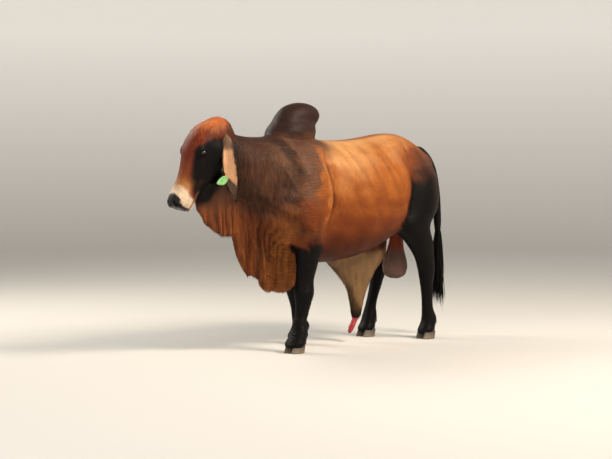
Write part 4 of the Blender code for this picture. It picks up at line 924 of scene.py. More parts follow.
def nose_pad(p):
    """1 on the bare black skin round the nostrils."""
    down, out = face_place(p)
    pad = fade(down + 0.18 * out - 4.0 * p[:, 1] ** 2, 0.617, 0.625) * fade(out, -0.135, -0.122)
    return pad * fade(np.abs(p[:, 1]), 0.070, 0.062) * on_head(p)


def ear_place(p, n):
    """Where a point lies on an ear: whether it is on one, inside its cup, and near its rim."""
    on, inner, rim = np.zeros(len(p)), np.zeros(len(p)), np.zeros(len(p))
    for side in (-1, 1):
        rows, across, front = ear_axes(side, 60)
        near = (p[:, 1] * side > 0.125) & (p[:, 0] < -1.04) & (p[:, 2] > 0.98)
        near &= np.linalg.norm(p - np.array([-1.15, 0.165 * side, 1.22]), axis=1) < 0.26
        if not near.any():
            continue
        q = p[near]
        k = np.linalg.norm(q[:, None] - rows[None, :, :3], axis=2).argmin(1)
        off = q - rows[k, :3]
        wide = np.abs((off * across[k]).sum(1)) / rows[k, 3]
        facing = (n[near] * front[k]).sum(1)
        on[near] = fade(np.linalg.norm(off, axis=1), 0.075, 0.066)
        inner[near] = fade(facing, -0.1, 0.3)
        rim[near] = fade(wide, 0.76, 0.97)
    return on, inner, rim


def lie_of(p, n):
    """The way the hair lies: back and down on the trunk, down the legs, neck and face."""
    way = np.broadcast_to(np.array([0.85, 0.0, -0.42]), p.shape).copy()
    legs = fade(p[:, 2], 0.95, 0.70)[:, None]
    way = way * (1 - legs) + np.array([0.05, 0, -1.0]) * legs
    fore = fade(p[:, 0], -0.55, -0.90)[:, None]
    way = way * (1 - fore) + np.array([0.30, 0, -1.0]) * fore
    head = on_head(p)[:, None]
    way = way * (1 - head) + (FACE_DOWN + 0.3 * np.array([0, 0, -1])) * head
    tail_ = fade(p[:, 0], 0.84, 0.88)[:, None]
    way = way * (1 - tail_) + np.array([0.0, 0, -1.0]) * tail_
    swirl = 0.16 * ripple(p, 0.30, 21)
    way = way + np.cross(way, n) * swirl[:, None]
    way = way - n * (way * n).sum(1)[:, None]
    return unit(way)


def folds_of(p, n):
    """How loose the skin is, from 0 to 1, and whether its folds and hair run up and down, at each point."""
    x, z = p[:, 0], p[:, 2]
    low = fade(z, 1.05, 0.75) * fade(x, -0.40, -0.52) * fade(limb(p, FORE_LEGS), 0.09, 0.12)
    nape = fade(x, -0.45, -0.70) * fade(x, -1.16, -1.08) * fade(z, 1.46, 1.38)
    blade = 0.55 * fade(np.abs(x + 0.52), 0.16, 0.06) * fade(np.abs(z - 1.20), 0.30, 0.12)
    crown = 0.15 * fade(z, 1.46, 1.52) * fade(x, -0.15, -0.22) * fade(x, -0.84, -0.76)
    loose = np.maximum.reduce([low, 0.85 * nape, blade, crown, 0 * x])
    brisket = fade(x, -0.80, -0.72) * fade(z, 0.90, 0.80)
    upright = np.clip(fade(z, 1.0, 0.80) + fade(x, -0.62, -0.76) + fade(x, 0.80, 0.86), 0, 1) * (1 - brisket)
    return {"Loose": loose * (1 - on_head(p)) * (1 - on_ear(p)), "Upright": upright}


def put_attribute(obj, name, values):
    """A float or colour attribute on the points of a mesh."""
    if values.ndim == 1:
        layer = obj.data.attributes.new(name, "FLOAT", "POINT")
        layer.data.foreach_set("value", values.astype(np.float32))
    else:
        layer = obj.data.attributes.new(name, "FLOAT_COLOR", "POINT")
        rgba = np.concatenate([values, np.ones((len(values), 1))], 1)
        layer.data.foreach_set("color", rgba.astype(np.float32).ravel())


CHARTS = {  # name: corner and size of its rectangle on the bake map
    "trunk": (0.01, 0.40, 0.98, 0.58),
    "left_fore": (0.01, 0.01, 0.11, 0.36),
    "right_fore": (0.13, 0.01, 0.11, 0.36),
    "left_hind": (0.25, 0.01, 0.11, 0.36),
    "right_hind": (0.37, 0.01, 0.11, 0.36),
    "tail": (0.49, 0.01, 0.09, 0.36),
    "hang": (0.59, 0.01, 0.18, 0.36),
    "left_ear": (0.78, 0.01, 0.10, 0.36),
    "right_ear": (0.89, 0.01, 0.10, 0.36),
}


def turn_share(up, along):
    """A point's angle round an axis, as a share of a full turn."""
    return np.arctan2(up, along) / (2 * math.pi) + 0.5


def bake_place(p):
    """A root's place on an unwrap of the skin: the turn round its part's axis, and how far along it."""
    x, y, z = p.T
    low = z < 0.62
    chart = np.full(len(p), "trunk", dtype=object)
    u = (x + 1.52) / 2.50
    v = turn_share(y, z - np.interp(x, [-1.5, -1.1, -0.9, 0.9], [1.15, 1.25, 1.05, 1.05]))
    for name, (hoof, joint, root, *_) in LEGS.items():
        mid = np.interp(z, [0.1, 0.45, 0.62], [hoof[0], joint, joint * 0.6 + root * 0.4])
        mine = low & (np.abs(y - hoof[1]) < 0.12) & (np.abs(x - mid) < 0.13) & (np.abs(y) > 0.10)
        chart[mine] = name
        u = np.where(mine, turn_share(y - hoof[1], x - mid), u)
        v = np.where(mine, z / 0.65, v)
    mine = low & (chart == "trunk") & (x > -0.2)
    chart[mine] = "hang"
    rear = x > 0.45
    half_turn = np.arctan2(y, x - np.where(rear, 0.56, 0.15)) / (4 * math.pi)
    u = np.where(mine, half_turn + np.where(rear, 0.75, 0.25), u)
    v = np.where(mine, z / 0.65, v)
    mine = (x > 0.875) & (np.abs(y + 0.07) < 0.1)
    chart[mine] = "tail"
    u = np.where(mine, turn_share(y + 0.07, x - 0.93), u)
    v = np.where(mine, (z - 0.2) / 1.25, v)
    for side, name in ((-1, "left_ear"), (1, "right_ear")):
        mine = (y * side > 0.130) & (x < -1.04) & (z > 0.98) & (on_ear(p) > 0.3)
        chart[mine] = name
        u = np.where(mine, turn_share(y - 0.17 * side, x + 1.16), u)
        v = np.where(mine, (z - 0.98) / 0.50, v)
    corner = np.array([CHARTS[c] for c in chart])
    return corner[:, :2] + corner[:, 2:] * np.clip(np.stack([u, v], 1), 0, 1)


def give_bake_map(obj, roots, per_tuft):
    """The map OFBake: each tuft is a patch 0.003 across, at its root's place."""
    place = np.repeat(bake_place(roots), per_tuft, axis=0)
    turn = np.tile(full_turn(per_tuft), len(roots))
    at = place + 0.0015 * np.stack([np.cos(turn), np.sin(turn)], 1)
    corner = np.empty(len(obj.data.loops), np.int32)
    obj.data.loops.foreach_get("vertex_index", corner)
    layer = obj.data.uv_layers.new(name="OFBake")
    layer.data.foreach_set("uv", at[corner].astype(np.float32).ravel())


def scatter(obj, density, total, seed):
    """Random roots on the skin, so many in all, shared by area times density: their places and normals."""
    mesh = obj.data
    mesh.calc_loop_triangles()
    tri = np.empty(len(mesh.loop_triangles) * 3, np.int32)
    mesh.loop_triangles.foreach_get("vertices", tri)
    tri = tri.reshape(-1, 3)
    p, n = points_of(obj), normals_of(obj)
    a, b, c = p[tri[:, 0]], p[tri[:, 1]], p[tri[:, 2]]
    area = np.linalg.norm(np.cross(b - a, c - a), axis=1) / 2
    share = area * density((a + b + c) / 3, n[tri].mean(axis=1))
    draw = np.random.default_rng(seed)
    pick = draw.choice(len(tri), total, p=share / share.sum())
    u, v = draw.random(total), draw.random(total)
    flip = u + v > 1
    u, v = np.where(flip, 1 - u, u), np.where(flip, 1 - v, v)
    w = np.stack([1 - u - v, u, v], 1)[..., None]
    return (p[tri[pick]] * w).sum(1), unit((n[tri[pick]] * w).sum(1)), draw


def fur(name, roots, normals, lie, length, width, lift, draw):
    """Short flat tufts: each a slim closed wedge of three sides, from under the skin to a tip."""
    count = len(roots)
    across = unit(np.cross(normals, lie))
    turn = draw.normal(0, 0.22, count)[:, None]
    along = unit(lie * np.cos(turn) + across * np.sin(turn))
    across = unit(np.cross(normals, along))
    length = (length * draw.uniform(0.7, 1.3, count))[:, None]
    base = roots - normals * 0.0004
    tip = roots + along * length + normals * (lift * draw.uniform(0.6, 1.3, count))[:, None]
    wide = (np.broadcast_to(width, count) * draw.uniform(0.7, 1.2, count))[:, None]
    a = base + across * wide
    b = base - across * wide
    c = 0.7 * base + 0.3 * tip + normals * wide * 0.4
    points = np.stack([a, b, c, tip], 1).reshape(-1, 3)
    first = np.arange(count)[:, None] * 4
    sides = ((0, 3, 1), (1, 3, 2), (2, 3, 0), (0, 1, 2))
    faces = np.stack([first + np.array(f) for f in sides], 1).reshape(-1, 3)
    return finish_tufts(name, points, faces, roots, normals, 4)


def finish_tufts(name, points, faces, roots, normals, per_tuft):
    """A coat piece from its tufts' points and faces: they shade as the hide under them, leaning a little."""
    obj = make(name, [(points, faces.tolist())])
    shade = 1 + TUFT_SHADE * np.random.default_rng(len(roots)).normal(size=(len(roots), 1))
    colour = markings(roots, normals) * shade.clip(0.5, 1.8)
    put_attribute(obj, "Coat", np.repeat(colour.clip(0, 1), per_tuft, axis=0))
    for key, values in folds_of(roots, normals).items():
        put_attribute(obj, key, np.repeat(values, per_tuft))
    give_bake_map(obj, roots, per_tuft)
    obj.data.shade_smooth()
    tilt = unit(normals + TUFT_LEAN * np.random.default_rng(len(roots)).normal(size=normals.shape))
    obj.data.normals_split_custom_set_from_vertices(np.repeat(tilt, per_tuft, axis=0))
    return obj


def locks(name, roots, normals, lie, length, width, thick, bend, draw, rows=5, stand=0.35):
    """Longer locks: a flat diamond section that narrows along a path bent from the lie towards bend."""
    count = len(roots)
    across = unit(np.cross(normals, lie) + draw.normal(0, 0.25, (count, 3)))
    t = np.linspace(0, 1, rows)[None, :, None]
    length = (np.broadcast_to(length, count) * draw.uniform(0.7, 1.25, count))[:, None, None]
    start = unit(lie + stand * normals + draw.normal(0, 0.28 * stand, (count, 3)))[:, None]
    sag = np.array(bend)[None, None] - normals[:, None] * stand * 0.6
    middle = (roots - normals * 0.002)[:, None] + length * (start * t + sag * t * t)
    along = unit(np.gradient(middle, axis=1))
    side = unit(across[:, None] - along * (across[:, None] * along).sum(2, keepdims=True))
    out = np.cross(side, along)
    size = (1.0 - t) ** 0.6 * (0.75 + 0.6 * t) + 0.03
    wide, deep = width * size, thick * size
    corners = [middle + side * wide, middle + out * deep, middle - side * wide, middle - out * deep]
    points = np.stack(corners, 2).reshape(-1, 3)
    per = rows * 4
    quads = []
    for r in range(rows - 1):
        for s in range(4):
            a, b = r * 4 + s, r * 4 + (s + 1) % 4
            quads += [(a, b + 4, b), (a, a + 4, b + 4)]
    quads += [(0, 1, 2), (0, 2, 3), (per - 4, per - 2, per - 3), (per - 4, per - 1, per - 2)]
    faces = (np.arange(count)[:, None, None] * per + np.array(quads)[None]).reshape(-1, 3)
    return finish_tufts(name, points, faces, roots, normals, per)


class Maker:
    """A node material: its tree, and one way to add a node with its settings and links."""

    def __init__(self, name, **sockets):
        self.material = bpy.data.materials.new(name)
        self.material.use_nodes = True
        self.tree = self.material.node_tree
        self.shader = self.tree.nodes["Principled BSDF"]
        for key, value in sockets.items():
            self.shader.inputs[key.replace("_", " ")].default_value = value
        # Patterns follow the object's own coordinates
        self.place = self.add("TexCoord").outputs["Object"]

    def add(self, kind, settings=None, stops=(), **links):
        """Adds a node of a kind, sets its properties, sockets and colour stops, and links its inputs.

        A stop is a place and a grey or hex colour. A link names its input, or numbers it as i0, i1 and so on.
        """
        node = self.tree.nodes.new("ShaderNode" + kind)
        for key, value in (settings or {}).items():
            if isinstance(key, str) and hasattr(node, key):
                setattr(node, key, value)
            else:
                node.inputs[key].default_value = value
        if stops:
            elements = node.color_ramp.elements
            while len(elements) < len(stops):
                elements.new(0.5)
            for element, (place, value) in zip(elements, stops):
                element.position = place
                element.color = (*linear(value), 1) if isinstance(value, str) else (value, value, value, 1)
        for key, value in links.items():
            self.link(value, node.inputs[int(key[1:]) if key[1:].isdigit() else key])
        return node

    def link(self, source, socket):
        """Links an output, or a node's first one, to an input, or to the shader's input of that name."""
        if isinstance(socket, str):
            socket = self.shader.inputs[socket]
        self.tree.links.new(source.outputs[0] if hasattr(source, "outputs") else source, socket)

    def dress(self, *objects):
        """Gives objects this material alone."""
        for obj in objects:
            obj.data.materials.clear()
            obj.data.materials.append(self.material)


def coat_material(name, is_tuft=False):
    """Short glossy summer hair over loose skin: streaks along the lie, soft mottling and fine wrinkles."""
    m = Maker(name, Roughness=0.52, IOR=1.45, Specular_IOR_Level=0.13)
    colour = m.add("Attribute", {"attribute_name": "Coat"}).outputs["Color"]
    upright = m.add("Attribute", {"attribute_name": "Upright"}).outputs["Fac"]
    loose = m.add("Attribute", {"attribute_name": "Loose"}).outputs["Fac"]
    # Hair about 0.1 mm thick lies in streaks drawn 4 mm wide, so that they show
    streaks = []
    for scale in ((18, 240, 240), (240, 240, 16)):
        lie = m.add("Mapping", {"Scale": scale}, Vector=m.place)
        streaks.append(m.add("TexNoise", {"Scale": 1.0, "Detail": 3.0, "Roughness": 0.6}, Vector=lie))
    streak = m.add("Mix", {"data_type": "FLOAT"}, i0=upright, i2=streaks[0], i3=streaks[1])
    # Creases of loose skin: valleys where a stretched noise crosses its middle, 15 mm apart and 90 mm long,
    # darkened as painted shade
    lines = []
    for scale in ((11, 11, 62), (58, 58, 8)):
        wave = m.add("Mapping", {"Scale": scale}, Vector=m.place)
        swing = m.add("TexNoise", {"Scale": 1.0, "Detail": 1.5, "Distortion": 0.25}, Vector=wave)
        off = m.add("Math", {"operation": "MULTIPLY_ADD", 1: 5.0, 2: -2.5}, i0=swing)
        lines.append(m.add("Math", {"operation": "ABSOLUTE", "use_clamp": True}, i0=off))
    crease = m.add("Mix", {"data_type": "FLOAT"}, i0=upright, i2=lines[0], i3=lines[1])
    fold = m.add("Mix", {"data_type": "FLOAT", 2: 1.0}, i0=loose, i3=crease)
    shade = m.add("Math", {"operation": "MULTIPLY_ADD", 1: 0.28, 2: 0.72}, i0=fold)
    mottle = m.add("TexNoise", {"Scale": 14.0, "Detail": 4.0, "Roughness": 0.55}, Vector=m.place)
    light = m.add("Math", {"operation": "MULTIPLY_ADD", 1: 0.40, 2: 0.80}, i0=streak)
    blotch = m.add("Math", {"operation": "MULTIPLY_ADD", 1: 0.50, 2: 0.75}, i0=mottle)
    hair_tone = m.add("Math", {"operation": "MULTIPLY"}, i0=light, i1=blotch)
    tone = m.add("Math", {"operation": "MULTIPLY"}, i0=hair_tone, i1=shade)
    tint = m.add("Mix", {"data_type": "RGBA", "blend_type": "MULTIPLY", 0: 1.0}, i6=colour, i7=tone)
    m.link(tint.outputs[2], "Base Color")
    if is_tuft:
        return m
    wet = m.add("Attribute", {"attribute_name": "Wet"}).outputs["Fac"]
    m.link(m.add("Math", {"operation": "MULTIPLY_ADD", 1: -0.32, 2: 0.50}, i0=wet), "Roughness")
    # Pores 2 mm across on the bare nose
    pores = m.add("TexVoronoi", {"Scale": 330.0, "feature": "DISTANCE_TO_EDGE"}, Vector=m.place)
    bare = m.add("Math", {"operation": "MULTIPLY"}, i0=wet, i1=pores.outputs["Distance"])
    broad = m.add("Bump", {"Strength": 0.7, "Distance": 0.008}, Height=fold)
    hair = m.add("Bump", {"Strength": 0.22, "Distance": 0.0010}, Height=streak, Normal=broad)
    m.link(m.add("Bump", {"Strength": 0.6, "Distance": 0.002}, Height=bare, Normal=hair), "Normal")
    return m


def eyeball(side):
    """A sphere whose front swells into the cornea."""
    out, _, _ = eye_axes(side)
    points, faces = ellipsoid((0, 0, 0), (EYE_RADIUS - 0.0002,) * 3, 0, 48, 32)
    bulge = 1 + 0.035 * fade(unit(points) @ out, 0.80, 0.95)
    name = ("left" if side < 0 else "right") + "_eyeball"
    return make(name, [(points * bulge[:, None] + eye_centre(side), faces)])


def eye_material(side):
    """A wet cornea over a dark brown iris with a level pupil: clear, smooth and darker than the face."""
    name = ("left" if side < 0 else "right") + "_eye_wet_cornea"
    m = Maker(name, Roughness=0.06, IOR=1.376, Coat_Weight=1.0)
    _, corner, up = eye_axes(side)
    off = m.add("VectorMath", {"operation": "SUBTRACT", 1: tuple(eye_centre(side) + SHIFT)}, i0=m.place)
    squares = []
    for way, half in ((corner, 0.0085), (up, 0.0055)):
        part = m.add("VectorMath", {"operation": "DOT_PRODUCT", 1: tuple(way / half)}, i0=off)
        far = m.add("Math", {"operation": "ABSOLUTE"}, i0=part.outputs["Value"])
        squares.append(m.add("Math", {"operation": "MULTIPLY"}, i0=far, i1=far))
    total = m.add("Math", {"operation": "ADD"}, i0=squares[0], i1=squares[1])
    scaled = m.add("Math", {"operation": "MULTIPLY", 1: 0.25}, i0=total)
    stops = [(0.0, "#050404"), (0.22, "#070504"), (0.27, "#2B170D"), (0.75, "#1D0F09"), (0.95, "#0D0807")]
    m.link(m.add("ValToRGB", stops=stops, Fac=scaled), "Base Color")
    return m


def claw(name, hoof, side):
    """One claw: rings from the sole up to the coronet, whose wall slopes forward and carries growth rings."""
    x, y = hoof
    t = np.linspace(0, 1, 40)[:, None]
    turn = full_turn(48)[None]
    length = 0.0595 - 0.014 * t + 0.0005 * np.sin(t * 60)
    width = 0.0305 - 0.004 * t + 0.0004 * np.sin(t * 60)
    length = length - 0.004 * np.clip(1 - t / 0.06, 0, 1) ** 2
    width = width - 0.003 * np.clip(1 - t / 0.06, 0, 1) ** 2
    c, s = np.cos(turn), np.sin(turn)
    narrow = 1 - 0.42 * np.clip(-c, 0, 1) ** 1.5
    flat = np.where(s * side < 0, 0.92, 1.05)
    px = x - 0.012 - 0.010 * (1 - t) + 0.012 * t + length * c * np.where(c < 0, 1.12, 0.85)
    py = y + side * (0.0320 + 0.005 * np.clip(-c, 0, 1)) + width * s * narrow * flat
    pz = 0.064 * t + 0.30 * t * (x - px)
    return make(name, [shell(np.stack([px, py, pz], -1))])


def hoof_material():
    """Hoof horn: dull grey-brown keratin with growth rings 4 mm apart, paler and dusty at the ground."""
    m = Maker("hoof_horn", Roughness=0.48, IOR=1.54)
    wave = {"Scale": 60.0, "Distortion": 1.5, "Detail": 2.0, "bands_direction": "Z"}
    rings = m.add("TexWave", wave, Vector=m.place)
    grain = m.add("Mapping", {"Scale": (300, 300, 30)}, Vector=m.place)
    fibre = m.add("TexNoise", {"Scale": 1.0, "Detail": 4.0}, Vector=grain)
    height = m.add("SeparateXYZ", Vector=m.place).outputs["Z"]
    tall = m.add("MapRange", {"From Min": 0.0, "From Max": 0.065}, Value=height)
    horn = [(0.0, "#85745F"), (0.4, "#6E5F50"), (0.85, "#483C34"), (1.0, "#221B18")]
    base = m.add("ValToRGB", stops=horn, Fac=tall)
    shade = m.add("ValToRGB", stops=[(0.3, 0.55), (0.7, 1.0)], Fac=fibre)
    tint = m.add("Mix", {"data_type": "RGBA", "blend_type": "MULTIPLY", 0: 1.0}, i6=base, i7=shade)
    m.link(tint.outputs[2], "Base Color")
    both = m.add("Math", {"operation": "ADD"}, i0=rings, i1=fibre)
    m.link(m.add("Bump", {"Strength": 0.35, "Distance": 0.0015}, Height=both), "Normal")
    return m


def tag_axes():
    """Where the pin goes through the left ear, the ways out of it and to its edge, and how thick it is."""
    rows, sides, fronts = ear_axes(-1, 22)
    k = np.abs(rows[:, 2] - TAG_LEVEL).argmin()
    across = sides[k] * -math.copysign(1, sides[k, 0])
    return rows[k, :3] + across * rows[k, 3] * 0.78, fronts[k], across, rows[k, 4]


def turned(centre, axis, rows, sides=40):
    """A turned profile: rows of distance along the axis and radius."""
    side = unit(np.cross(axis, (0, 0, 1)))
    up = np.cross(side, axis)
    turn = full_turn(sides)
    ring = side * np.cos(turn)[:, None] + up * np.sin(turn)[:, None]
    rows = np.array(rows)
    return shell(centre + axis * rows[:, :1, None] + ring[None] * rows[:, 1:, None])


def ear_tag():
    """A leaf-shaped plate with a rolled rim, its pin and boss, and the button behind the ear."""
    centre, front, across, deep = tag_axes()
    up = np.cross(across, front)
    up = up * np.sign(up[2])
    turn = full_turn(96)
    leaf_across = 0.030 * np.cos(turn) + 0.009 * np.cos(turn) ** 3
    leaf_up = 0.027 * np.sin(turn) * (1 - 0.25 * np.cos(turn))
    rows = [(0.0040, 0.975), (0.0042, 0.995), (0.0050, 1.0), (0.0058, 0.995), (0.0062, 0.975),
            (0.0060, 0.93), (0.0056, 0.90)]
    rings = []
    for level, grow in rows:
        a = leaf_across * grow + 0.024
        u = leaf_up * grow - 0.020 - 0.30 * (a - 0.024)
        rings.append(centre + front * level + across * a[:, None] + up * u[:, None])
    back = -deep - 0.0040
    pin = [(back - 0.001, 0.003), (0.005, 0.003)]
    button = [(back - 0.003, 0.008), (back - 0.0028, 0.0095), (back - 0.001, 0.010), (back, 0.0097)]
    boss = [(0.0030, 0.009), (0.0078, 0.009), (0.0085, 0.0082), (0.0085, 0.0035), (0.0075, 0.0028)]
    profiles = [turned(centre, front, profile) for profile in (pin, button, boss)]
    return make("ear_tag_plate", [shell(np.array(rings)), *profiles])


def tag_material():
    """Moulded polyurethane: satin, a little translucent, with dirt in soft patches and fine scuffs."""
    m = Maker("tag_moulded_polyurethane", Roughness=0.42, IOR=1.5, Subsurface_Weight=0.15,
              Subsurface_Scale=0.003)
    dirt = m.add("TexNoise", {"Scale": 60.0, "Detail": 5.0}, Vector=m.place)
    scuff = m.add("TexNoise", {"Scale": 900.0, "Detail": 2.0}, Vector=m.place)
    stops = [(0.30, "#7FB96B"), (0.52, "#A5E38F"), (0.75, "#B4F09C")]
    m.link(m.add("ValToRGB", stops=stops, Fac=dirt), "Base Color")
    m.link(m.add("Bump", {"Strength": 0.15, "Distance": 0.0006}, Height=scuff), "Normal")
    return m


def prepuce():
    """The bare red tip: a tube with wrinkles that run round it."""
    rows = [
        (0.152, 0, 0.205, 0.018, 0.018, 0.018),
        (0.147, 0, 0.175, 0.021, 0.021, 0.021),
        (0.138, 0, 0.150, 0.023, 0.023, 0.023),
        (0.122, 0, 0.125, 0.024, 0.025, 0.025),
        (0.108, 0, 0.100, 0.022, 0.023, 0.023),
        (0.098, 0, 0.078, 0.016, 0.017, 0.017),
        (0.092, 0, 0.066, 0.008, 0.008, 0.008),
    ]
    points, faces = tube(rows, (-1, 0, 0), 60, 36, 2.0, run=(0, 0, -1))
    grid = points.reshape(60, 36, 3)
    middle = grid.mean(axis=1, keepdims=True)
    t = np.linspace(0, 1, 60)[:, None]
    turn = full_turn(36)[None]
    ring = 0.5 + 0.5 * np.sin(t * 44 + 2.2 * np.sin(turn * 2 + 3 * t))
    wave = 0.97 - 0.06 * ring - 0.05 * np.cos(turn * 5 + 4 * t) ** 2
    wrinkled = middle + (grid - middle) * wave[..., None]
    return make("prepuce_tip", [(wrinkled.reshape(-1, 3), faces)])


def prepuce_material():
    """Bare mucous skin: wet, dark red, with paler ridges."""
    m = Maker("bare_red_mucosa", Roughness=0.28, IOR=1.4, Subsurface_Weight=0.2, Subsurface_Scale=0.004)
    patch = m.add("TexNoise", {"Scale": 110.0, "Detail": 4.0}, Vector=m.place)
    stops = [(0.3, "#6E1A20"), (0.55, "#A8323A"), (0.75, "#C4575A")]
    m.link(m.add("ValToRGB", stops=stops, Fac=patch), "Base Color")
    m.link(m.add("Bump", {"Strength": 0.4, "Distance": 0.0015}, Height=patch), "Normal")
    return m


def move(*objects):
    """Puts pieces in the row's frame, with x = 0 at mid-length."""
    for obj in objects:
        set_points(obj, points_of(obj) + SHIFT)


def body_density(p, n):
    """Tufts for each square metre: fewer on the scrotum, none on the nose, eyes and hooves, more on the head
    and ears.
    """
    down, out = face_place(p)
    bare = np.maximum(nose_pad(p), fade(down, 0.645, 0.655) * fade(out, -0.07, -0.09) * on_head(p))
    for side in (-1, 1):
        bare = np.maximum(bare, eye_distance(p, side) < 0.030)
    bare = np.maximum(bare, p[:, 2] < 0.072)
    ball = (np.abs(p[:, 0] - 0.56) < 0.12) * (np.abs(p[:, 1]) < 0.10) * (p[:, 2] < 0.72)
    bare = np.maximum(bare, 0.85 * ball)
    return (1 - bare) * (1 + 2.2 * on_head(p)) * (1 + 2.0 * on_ear(p))


def coat_sizes(p):
    """The tufts' length, half width and lift: 15 mm on the trunk, down to 6 mm on the face, ears and feet."""
    small = np.maximum(on_head(p), on_ear(p))
    small = np.maximum(small, fade(p[:, 2], 0.25, 0.10))
    length = 0.015 - 0.009 * small
    return length, 0.0013 - 0.0006 * small, 0.0011 - 0.0006 * small


def main_coat(skin_object):
    """The short coat all over, in four pieces."""
    roots, normals, draw = scatter(skin_object, body_density, COAT_TUFTS, 11)
    length, width, lift = coat_sizes(roots)
    lie = lie_of(roots, normals)
    order = np.argsort(roots[:, 0], kind="stable")
    pieces = []
    for k, part in enumerate(np.array_split(order, 4)):
        own = (values[part] for values in (roots, normals, lie, length, width, lift))
        pieces.append(fur(f"coat_{k + 1}", *own, draw))
    return pieces


def long_hair(skin_object):
    """Longer tufts on the poll, along the ears' rims, under the sheath and dewlap, and behind the legs."""

    def poll(p, n):
        near = np.exp(-(((p - head_point(0.06, 0.03)) / 0.09) ** 2).sum(1)) ** 1.5 + 1e-9
        return near * (1 - on_ear(p))

    def ear_rim(p, n):
        return on_ear(p) * (ear_place(p, n)[2] ** 2 + 3 * fade(p[:, 2], 1.10, 1.03)) + 1e-9

    def sheath_edge(p, n):
        x, y, z = p.T
        place = (z < 0.62) * (np.abs(y) < 0.10) * (x > -0.12) * (x < 0.45) * (n[:, 2] < 0.1)
        return place * fade(z, 0.60, 0.25) + 1e-9

    def hem(p, n):
        x, y, z = p.T
        return (x < -0.38) * (np.abs(y) < 0.10) * (z < 0.95) * fade(n[:, 2], -0.35, -0.75) + 1e-9

    def leg_back(p, n):
        z = p[:, 2]
        place = (z < 0.45) * (z > 0.08) * (np.abs(p[:, 1]) > 0.11) * fade(n[:, 0], 0.2, 0.7)
        return place * (1 + 4 * fade(z, 0.17, 0.11)) + 1e-9

    pieces = []
    for name, density, total, seed, length, width, bend in (
        ("poll_tufts", poll, 2600, 31, 0.022, 0.0016, (0, 0, -0.2)),
        ("ear_fringe", ear_rim, 3200, 32, 0.020, 0.0011, (0, 0, -0.7)),
        ("sheath_fringe", sheath_edge, 1800, 33, 0.022, 0.0014, (0, 0, -0.6)),
        ("hem_hair", hem, 1500, 34, 0.016, 0.0012, (0, 0, -0.6)),
        ("leg_feather", leg_back, 2600, 35, 0.018, 0.0013, (0.1, 0, -0.5)),
    ):
        roots, normals, draw = scatter(skin_object, density, total, seed)
        lie = lie_of(roots, normals)
        pieces.append(locks(name, roots, normals, lie, length, width, width * 0.30, bend, draw, 4))
    return pieces


def tail_switch():
    """The switch: locks in tiers round the tail's end, longer below, that hang and part into thin tips."""
    draw = np.random.default_rng(7)
    count = 620
    tier = draw.random(count) ** 0.8
    level = 0.775 - 0.17 * tier
    turn = draw.uniform(0, 2 * math.pi, count)
    aside = np.stack([np.cos(turn), np.sin(turn), 0 * turn], 1)
    ring = 0.024 - 0.012 * tier
    roots = np.array([0.929, -0.086, 0]) + aside * ring[:, None] + np.stack([0 * level, 0 * level, level], 1)
    length = 0.19 + 0.13 * tier + 0.05 * draw.random(count)
    lie = unit(np.array([0.0, 0, -1.0]) + aside * 0.05 * draw.uniform(-0.6, 1.0, (count, 1)))
    return locks("tail_switch_hair", roots, aside, lie, length, 0.0042, 0.0018, (0.0, 0, 0.0), draw, 8, 0.12)


def build():
    """All the pieces: made, dressed, moved into the row's frame and joined to the root, with the solids they
    stand for hidden.
    """
    body = skin()
    p, n = points_of(body), normals_of(body)
    put_attribute(body, "Coat", markings(p, n).clip(0, 1))
    wet = nose_pad(p)
    for side in (-1, 1):
        wet = np.maximum(wet, fade(eye_distance(p, side), 0.030, 0.024))
    put_attribute(body, "Wet", wet)
    for key, values in folds_of(p, n).items():
        put_attribute(body, key, values)
    body.data.shade_smooth()
    coat_material("bull_hide").dress(body)
    hairs = main_coat(body) + long_hair(body) + [tail_switch()]
    coat_material("bull_hair", True).dress(*hairs)
    eyes = {side: eyeball(side) for side in (-1, 1)}
    for side, eye in eyes.items():
        eye.data.shade_smooth()
        eye_material(side).dress(eye)
    claws = {}
    for label, (hoof, *_) in LEGS.items():
        for side, word in ((-1, "left"), (1, "right")):
            claws[f"{label}_{word}_claw"] = claw(f"{label}_{word}_hoof_wall", hoof, side)
    hoof_material().dress(*claws.values())
    tag = ear_tag()
    tag_material().dress(tag)
    tip = prepuce()
    tip.data.shade_smooth()
    prepuce_material().dress(tip)
    for obj in [*claws.values(), tag]:
        obj.data.shade_smooth()
        obj.data.set_sharp_from_angle(angle=math.radians(50))
    everything = [body, *hairs, *eyes.values(), *claws.values(), tag, tip]
    move(*everything)
    for obj in everything:
        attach(obj, "root")
    own = ("_claw", "_eye", "ear_tag", "prepuce", "tail_switch")
    flesh = [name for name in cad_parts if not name.endswith(own)]
    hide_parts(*flesh)
    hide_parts("tail_switch")
    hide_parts("left_eye")
    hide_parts("right_eye")
    for name, obj in claws.items():
        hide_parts(name)
    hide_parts("ear_tag")
    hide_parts("prepuce")


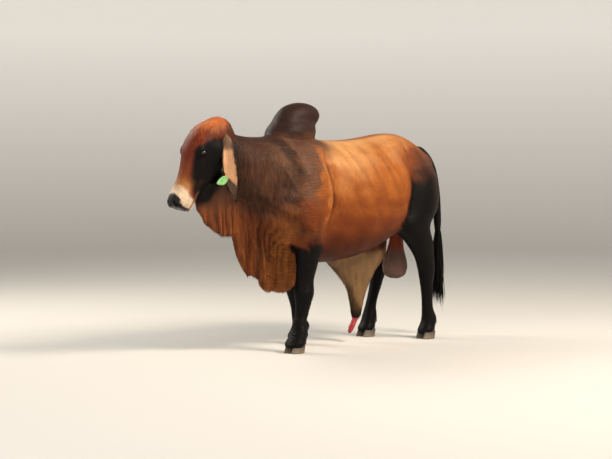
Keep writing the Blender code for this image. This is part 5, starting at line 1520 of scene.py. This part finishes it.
def studio():
    """A round pale floor that rises into a wall, a key, a fill and a rim light, a soft sky and the camera."""
    scene = bpy.context.scene
    t = np.linspace(0, 29, 120)
    turn = np.clip((t - FLAT_RADIUS) / WALL_CURVE, 0, math.pi / 2)
    run = np.where(t < FLAT_RADIUS, t, FLAT_RADIUS + WALL_CURVE * np.sin(turn)) + 0.01
    rise = WALL_CURVE * (1 - np.cos(turn)) + np.clip(t - FLAT_RADIUS - WALL_CURVE / 2 * math.pi, 0, 20)
    around = full_turn(96)
    ways = (run[:, None] * np.cos(around), run[:, None] * np.sin(around), rise[:, None] + 0 * around)
    points, faces = shell(np.stack(ways, -1))
    floor = make("floor", [(points, faces[:-2])])
    floor.data.shade_smooth()
    pale, glow = ((*linear(c), 1) for c in ("#C9C6C0", "#EFEAE2"))
    m = Maker("pale_floor", Base_Color=pale, Roughness=0.9, Emission_Color=glow)
    height = m.add("SeparateXYZ", Vector=m.place).outputs["Z"]
    lit = m.add("MapRange", {"From Min": 0.0, "From Max": 3.5, "To Max": 0.46}, Value=height)
    m.link(lit, "Emission Strength")
    m.dress(floor)
    for name, place, size, power, colour in (
        ("key", (1.6, -5.2, 6.0), 2.4, 760, "#FFF1DE"),
        ("fill", (-6.5, -2.5, 2.8), 4.0, 110, "#F1F4FF"),
        ("rim", (-1.5, 4.5, 4.5), 3.0, 260, "#FFF6EA"),
    ):
        lamp = bpy.data.lights.new(name, "AREA")
        lamp.size = size
        lamp.energy = power
        lamp.color = linear(colour)
        obj = bpy.data.objects.new(name, lamp)
        scene.collection.objects.link(obj)
        obj.location = place
        obj.rotation_euler = (Vector((0, 0, 0.9)) - Vector(place)).to_track_quat("-Z", "Y").to_euler()
    world = bpy.data.worlds.new("soft_sky")
    scene.world = world
    scene.view_settings.view_transform = "Standard"
    world.use_nodes = True
    world.node_tree.nodes["Background"].inputs["Color"].default_value = (*linear("#E9EDF2"), 1)
    world.node_tree.nodes["Background"].inputs["Strength"].default_value = 0.42
    camera = bpy.data.cameras.new("camera")
    camera.lens = FOCAL / PHOTO_WIDTH * SENSOR
    camera.sensor_width = SENSOR
    camera.shift_y = -(PHOTO_HEIGHT / 2 - HORIZON) / PHOTO_WIDTH
    camera.clip_end = 100
    obj = bpy.data.objects.new("camera", camera)
    scene.collection.objects.link(obj)
    obj.location = (-7.916 + SHIFT[0], -8.132, 1.30)
    obj.rotation_euler = (math.radians(90), 0, math.radians(-43))
    scene.camera = obj


studio()
build()
